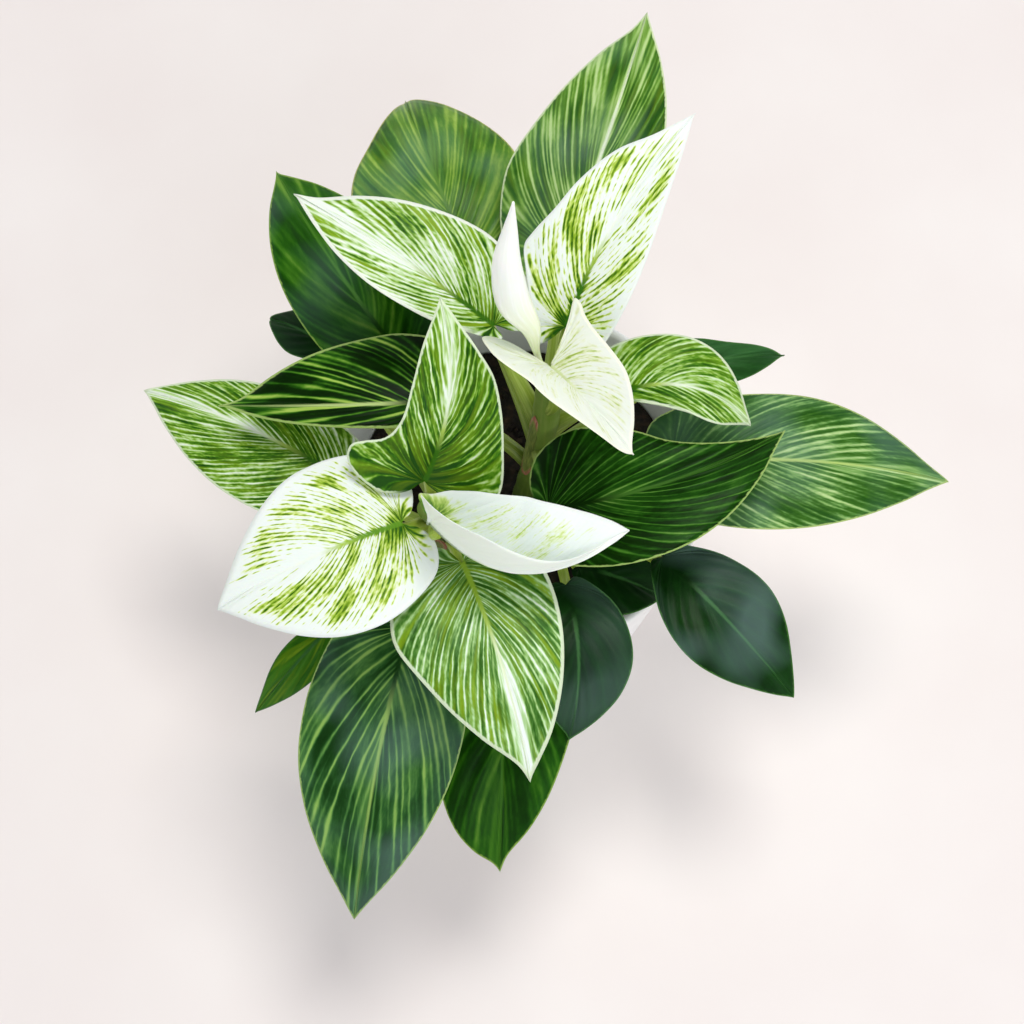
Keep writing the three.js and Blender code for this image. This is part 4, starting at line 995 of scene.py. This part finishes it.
def potting_mix(material):
    """One lumpy body, about 1 mm clear of the pot's wall, with bark crumbs pressed into its top."""
    edge = pot_wall(SOIL_TOP) - TOP_INSET
    angles = np.linspace(0, FULL_TURN, 120, endpoint=False)
    bottom = [(0, POT_FLOOR + 0.3), (pot_wall(4) - 7.7, POT_FLOOR + 0.3), (pot_wall(8) - 5.2, POT_FLOOR + 4)]
    bottom += [(pot_wall(h) - SIDE_INSET, h) for h in np.linspace(20, SOIL_TOP - 3, 8)]

    def dome(radius):
        return SOIL_TOP + SOIL_DOME * (1 - (radius / edge) ** 2)

    corners = []
    rings = [add_ring(corners, angles, *place) for place in bottom]
    for radius in edge * (1 - np.arange(TOP_RINGS) / TOP_RINGS) ** 0.9:
        x, y = radius * np.cos(angles), radius * np.sin(angles)
        height = dome(radius) - 1.2 + 1.1 * lumpy(x, y, 0.16, 1.3) + 0.7 * lumpy(x, y, 0.5, 2.1)
        rings.append(add_ring(corners, angles, radius, height))
    rings.append(add_ring(corners, angles, 0, dome(0) - 1))
    faces = faces_between(rings)

    crumb_corners, crumb_faces = crumb_shape()
    for _ in range(CRUMBS):
        radius = (edge - 4) * math.sqrt(random_numbers.random())
        angle = FULL_TURN * random_numbers.random()
        size = random_numbers.uniform(*CRUMB_SIZES) * random_numbers.uniform(0.6, 1.0, 3) * CRUMB_SHAPE
        turn = np.linalg.qr(random_numbers.normal(size=(3, 3)))[0]
        rough = crumb_corners * (1 + 0.25 * random_numbers.normal(size=(len(crumb_corners), 1)))
        place = (radius * math.cos(angle), radius * math.sin(angle), dome(radius) - 0.7)
        first = len(corners)
        corners.extend((rough * size) @ turn.T + place)
        faces.extend([first + v for v in face] for face in crumb_faces)
    return mesh_object("potting_mix", np.array(corners) * MM, faces, [material], smooth=False)


# ------------------------------------------------------------------ studio

# places and lengths in metres, the sensor in millimetres
CAMERA_ELEVATION, CAMERA_DISTANCE = math.radians(72), 0.78
CAMERA_TARGET = (-0.0024, -0.016, 0.130)
PICTURE_WIDTH, FOCAL_LENGTH = 1024, 1960      # both in pixels
SENSOR_WIDTH = 36
FLOOR_REACH = 4
LAMP_TARGET = (0, 0, 0.12)


def link_to_scene(name, data):
    """An object in the scene that holds this camera or lamp."""
    holder = bpy.data.objects.new(name, data)
    bpy.context.scene.collection.objects.link(holder)
    return holder


def lamp(name, place, size, power, hex_code):
    """A round soft lamp that shines at the plant."""
    light = bpy.data.lights.new(name, "AREA")
    light.shape = "DISK"
    light.size, light.energy, light.color = size, power, tint(hex_code)[:3]
    holder = link_to_scene(name, light)
    holder.location = place
    x, y, z = np.array(LAMP_TARGET) - np.array(place)
    holder.rotation_euler = (math.atan2(math.hypot(x, y), -z), 0, math.atan2(y, x) - math.pi / 2)


def studio():
    """Camera, floor, a window and a fill lamp, and the soft light of a room."""
    camera = bpy.data.cameras.new("camera")
    holder = link_to_scene("camera", camera)
    away = np.array((0, -math.cos(CAMERA_ELEVATION), math.sin(CAMERA_ELEVATION)))
    holder.location = np.array(CAMERA_TARGET) + CAMERA_DISTANCE * away
    holder.rotation_euler = (math.pi / 2 - CAMERA_ELEVATION, 0, 0)
    camera.sensor_width = SENSOR_WIDTH
    camera.lens = SENSOR_WIDTH * FOCAL_LENGTH / PICTURE_WIDTH
    camera.clip_start = 0.01
    bpy.context.scene.camera = holder

    reach = FLOOR_REACH
    floor = mesh_object("studio_floor", [(-reach, -reach, 0), (reach, -reach, 0), (reach, reach, 0),
                                         (-reach, reach, 0)], [[0, 1, 2, 3]], [floor_skin()])

    lamp("window", (0.18, 0.26, 1.7), size=0.55, power=12.5, hex_code="#fffdf8")
    lamp("fill", (0.5, -1.1, 1.2), size=1.2, power=5.5, hex_code="#f4f7ff")

    # soft room light: bright walls, a darker ceiling
    world = bpy.data.worlds.new("studio_air")
    world.use_nodes = True
    tree = world.node_tree
    direction = add(tree, "ShaderNodeTexCoord", out="Generated")
    height = add(tree, "ShaderNodeSeparateXYZ", {0: direction}, out=2)
    sky = add(tree, RAMP, {0: height}, stops=[(0.0, "#ffffff"), (0.5, "#f4f5f8"), (0.85, "#7d8088")])
    background = tree.nodes["Background"]
    tree.links.new(sky, background.inputs[0])
    background.inputs[1].default_value = 1.15
    bpy.context.scene.world = world
    bpy.context.scene.view_settings.view_transform = "Standard"


# ------------------------------------------------------------------ the plant in its pot


def place_piece(piece, node):
    """Everything rides on the one body; each piece stands for a node and has a material slot."""
    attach(piece, "root")
    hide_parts(node)


studio()

fresh_stalk = stalk_skin("fresh_stalk", "#4f6326", "#98b03c", "#bccc66")
undersides = {key: leaf_skin("underside_" + key, {**ORDINARY, **look}, underside=True)
              for key, look in LOOKS.items()}

for number, leaf in enumerate(LEAVES):
    leaf = {**ORDINARY_LEAF, **leaf}
    node, own = "leaf_" + leaf["id"], leaf["own"]
    look = {**ORDINARY, **LOOKS[leaf["look"]]}
    upper = leaf_skin("leaf_skin_" + leaf["id"], {**look, **own})
    lower = undersides[leaf["look"]]
    if "back_own" in own:
        lower = leaf_skin("underside_" + leaf["id"], {**look, **own["back_own"]}, underside=True)
    piece = blade_mesh("blade_" + leaf["id"], leaf, [upper, lower], number=number)
    place_piece(piece, node)
    place_piece(stalk(leaf, fresh_stalk), node)

# a rolled leaf has the smooth skin of a stalk, and is almost white
new_leaf = stalk_skin("rolled_leaf_skin", "#dbe5a8", "#f8faf4", "#ffffff")
place_piece(spear(new_leaf), "spear")

ageing_sheath = sheath_skin()
for sheath in SHEATHS:
    whole = {**ORDINARY_LEAF, **ORDINARY_SHEATH, **sheath}
    piece = blade_mesh("papery_" + sheath["id"], whole, [ageing_sheath, ageing_sheath], rows=44, columns=6)
    place_piece(piece, sheath["id"])

green_stem = stalk_skin("green_stem", "#3c4a1e", "#66802e", "#7d8a45")
for key in SHOOTS:
    place_piece(stem(key, green_stem), "stem_" + key)

place_piece(pot(white_pot_skin()), "pot")
place_piece(potting_mix(potting_mix_skin()), "soil")
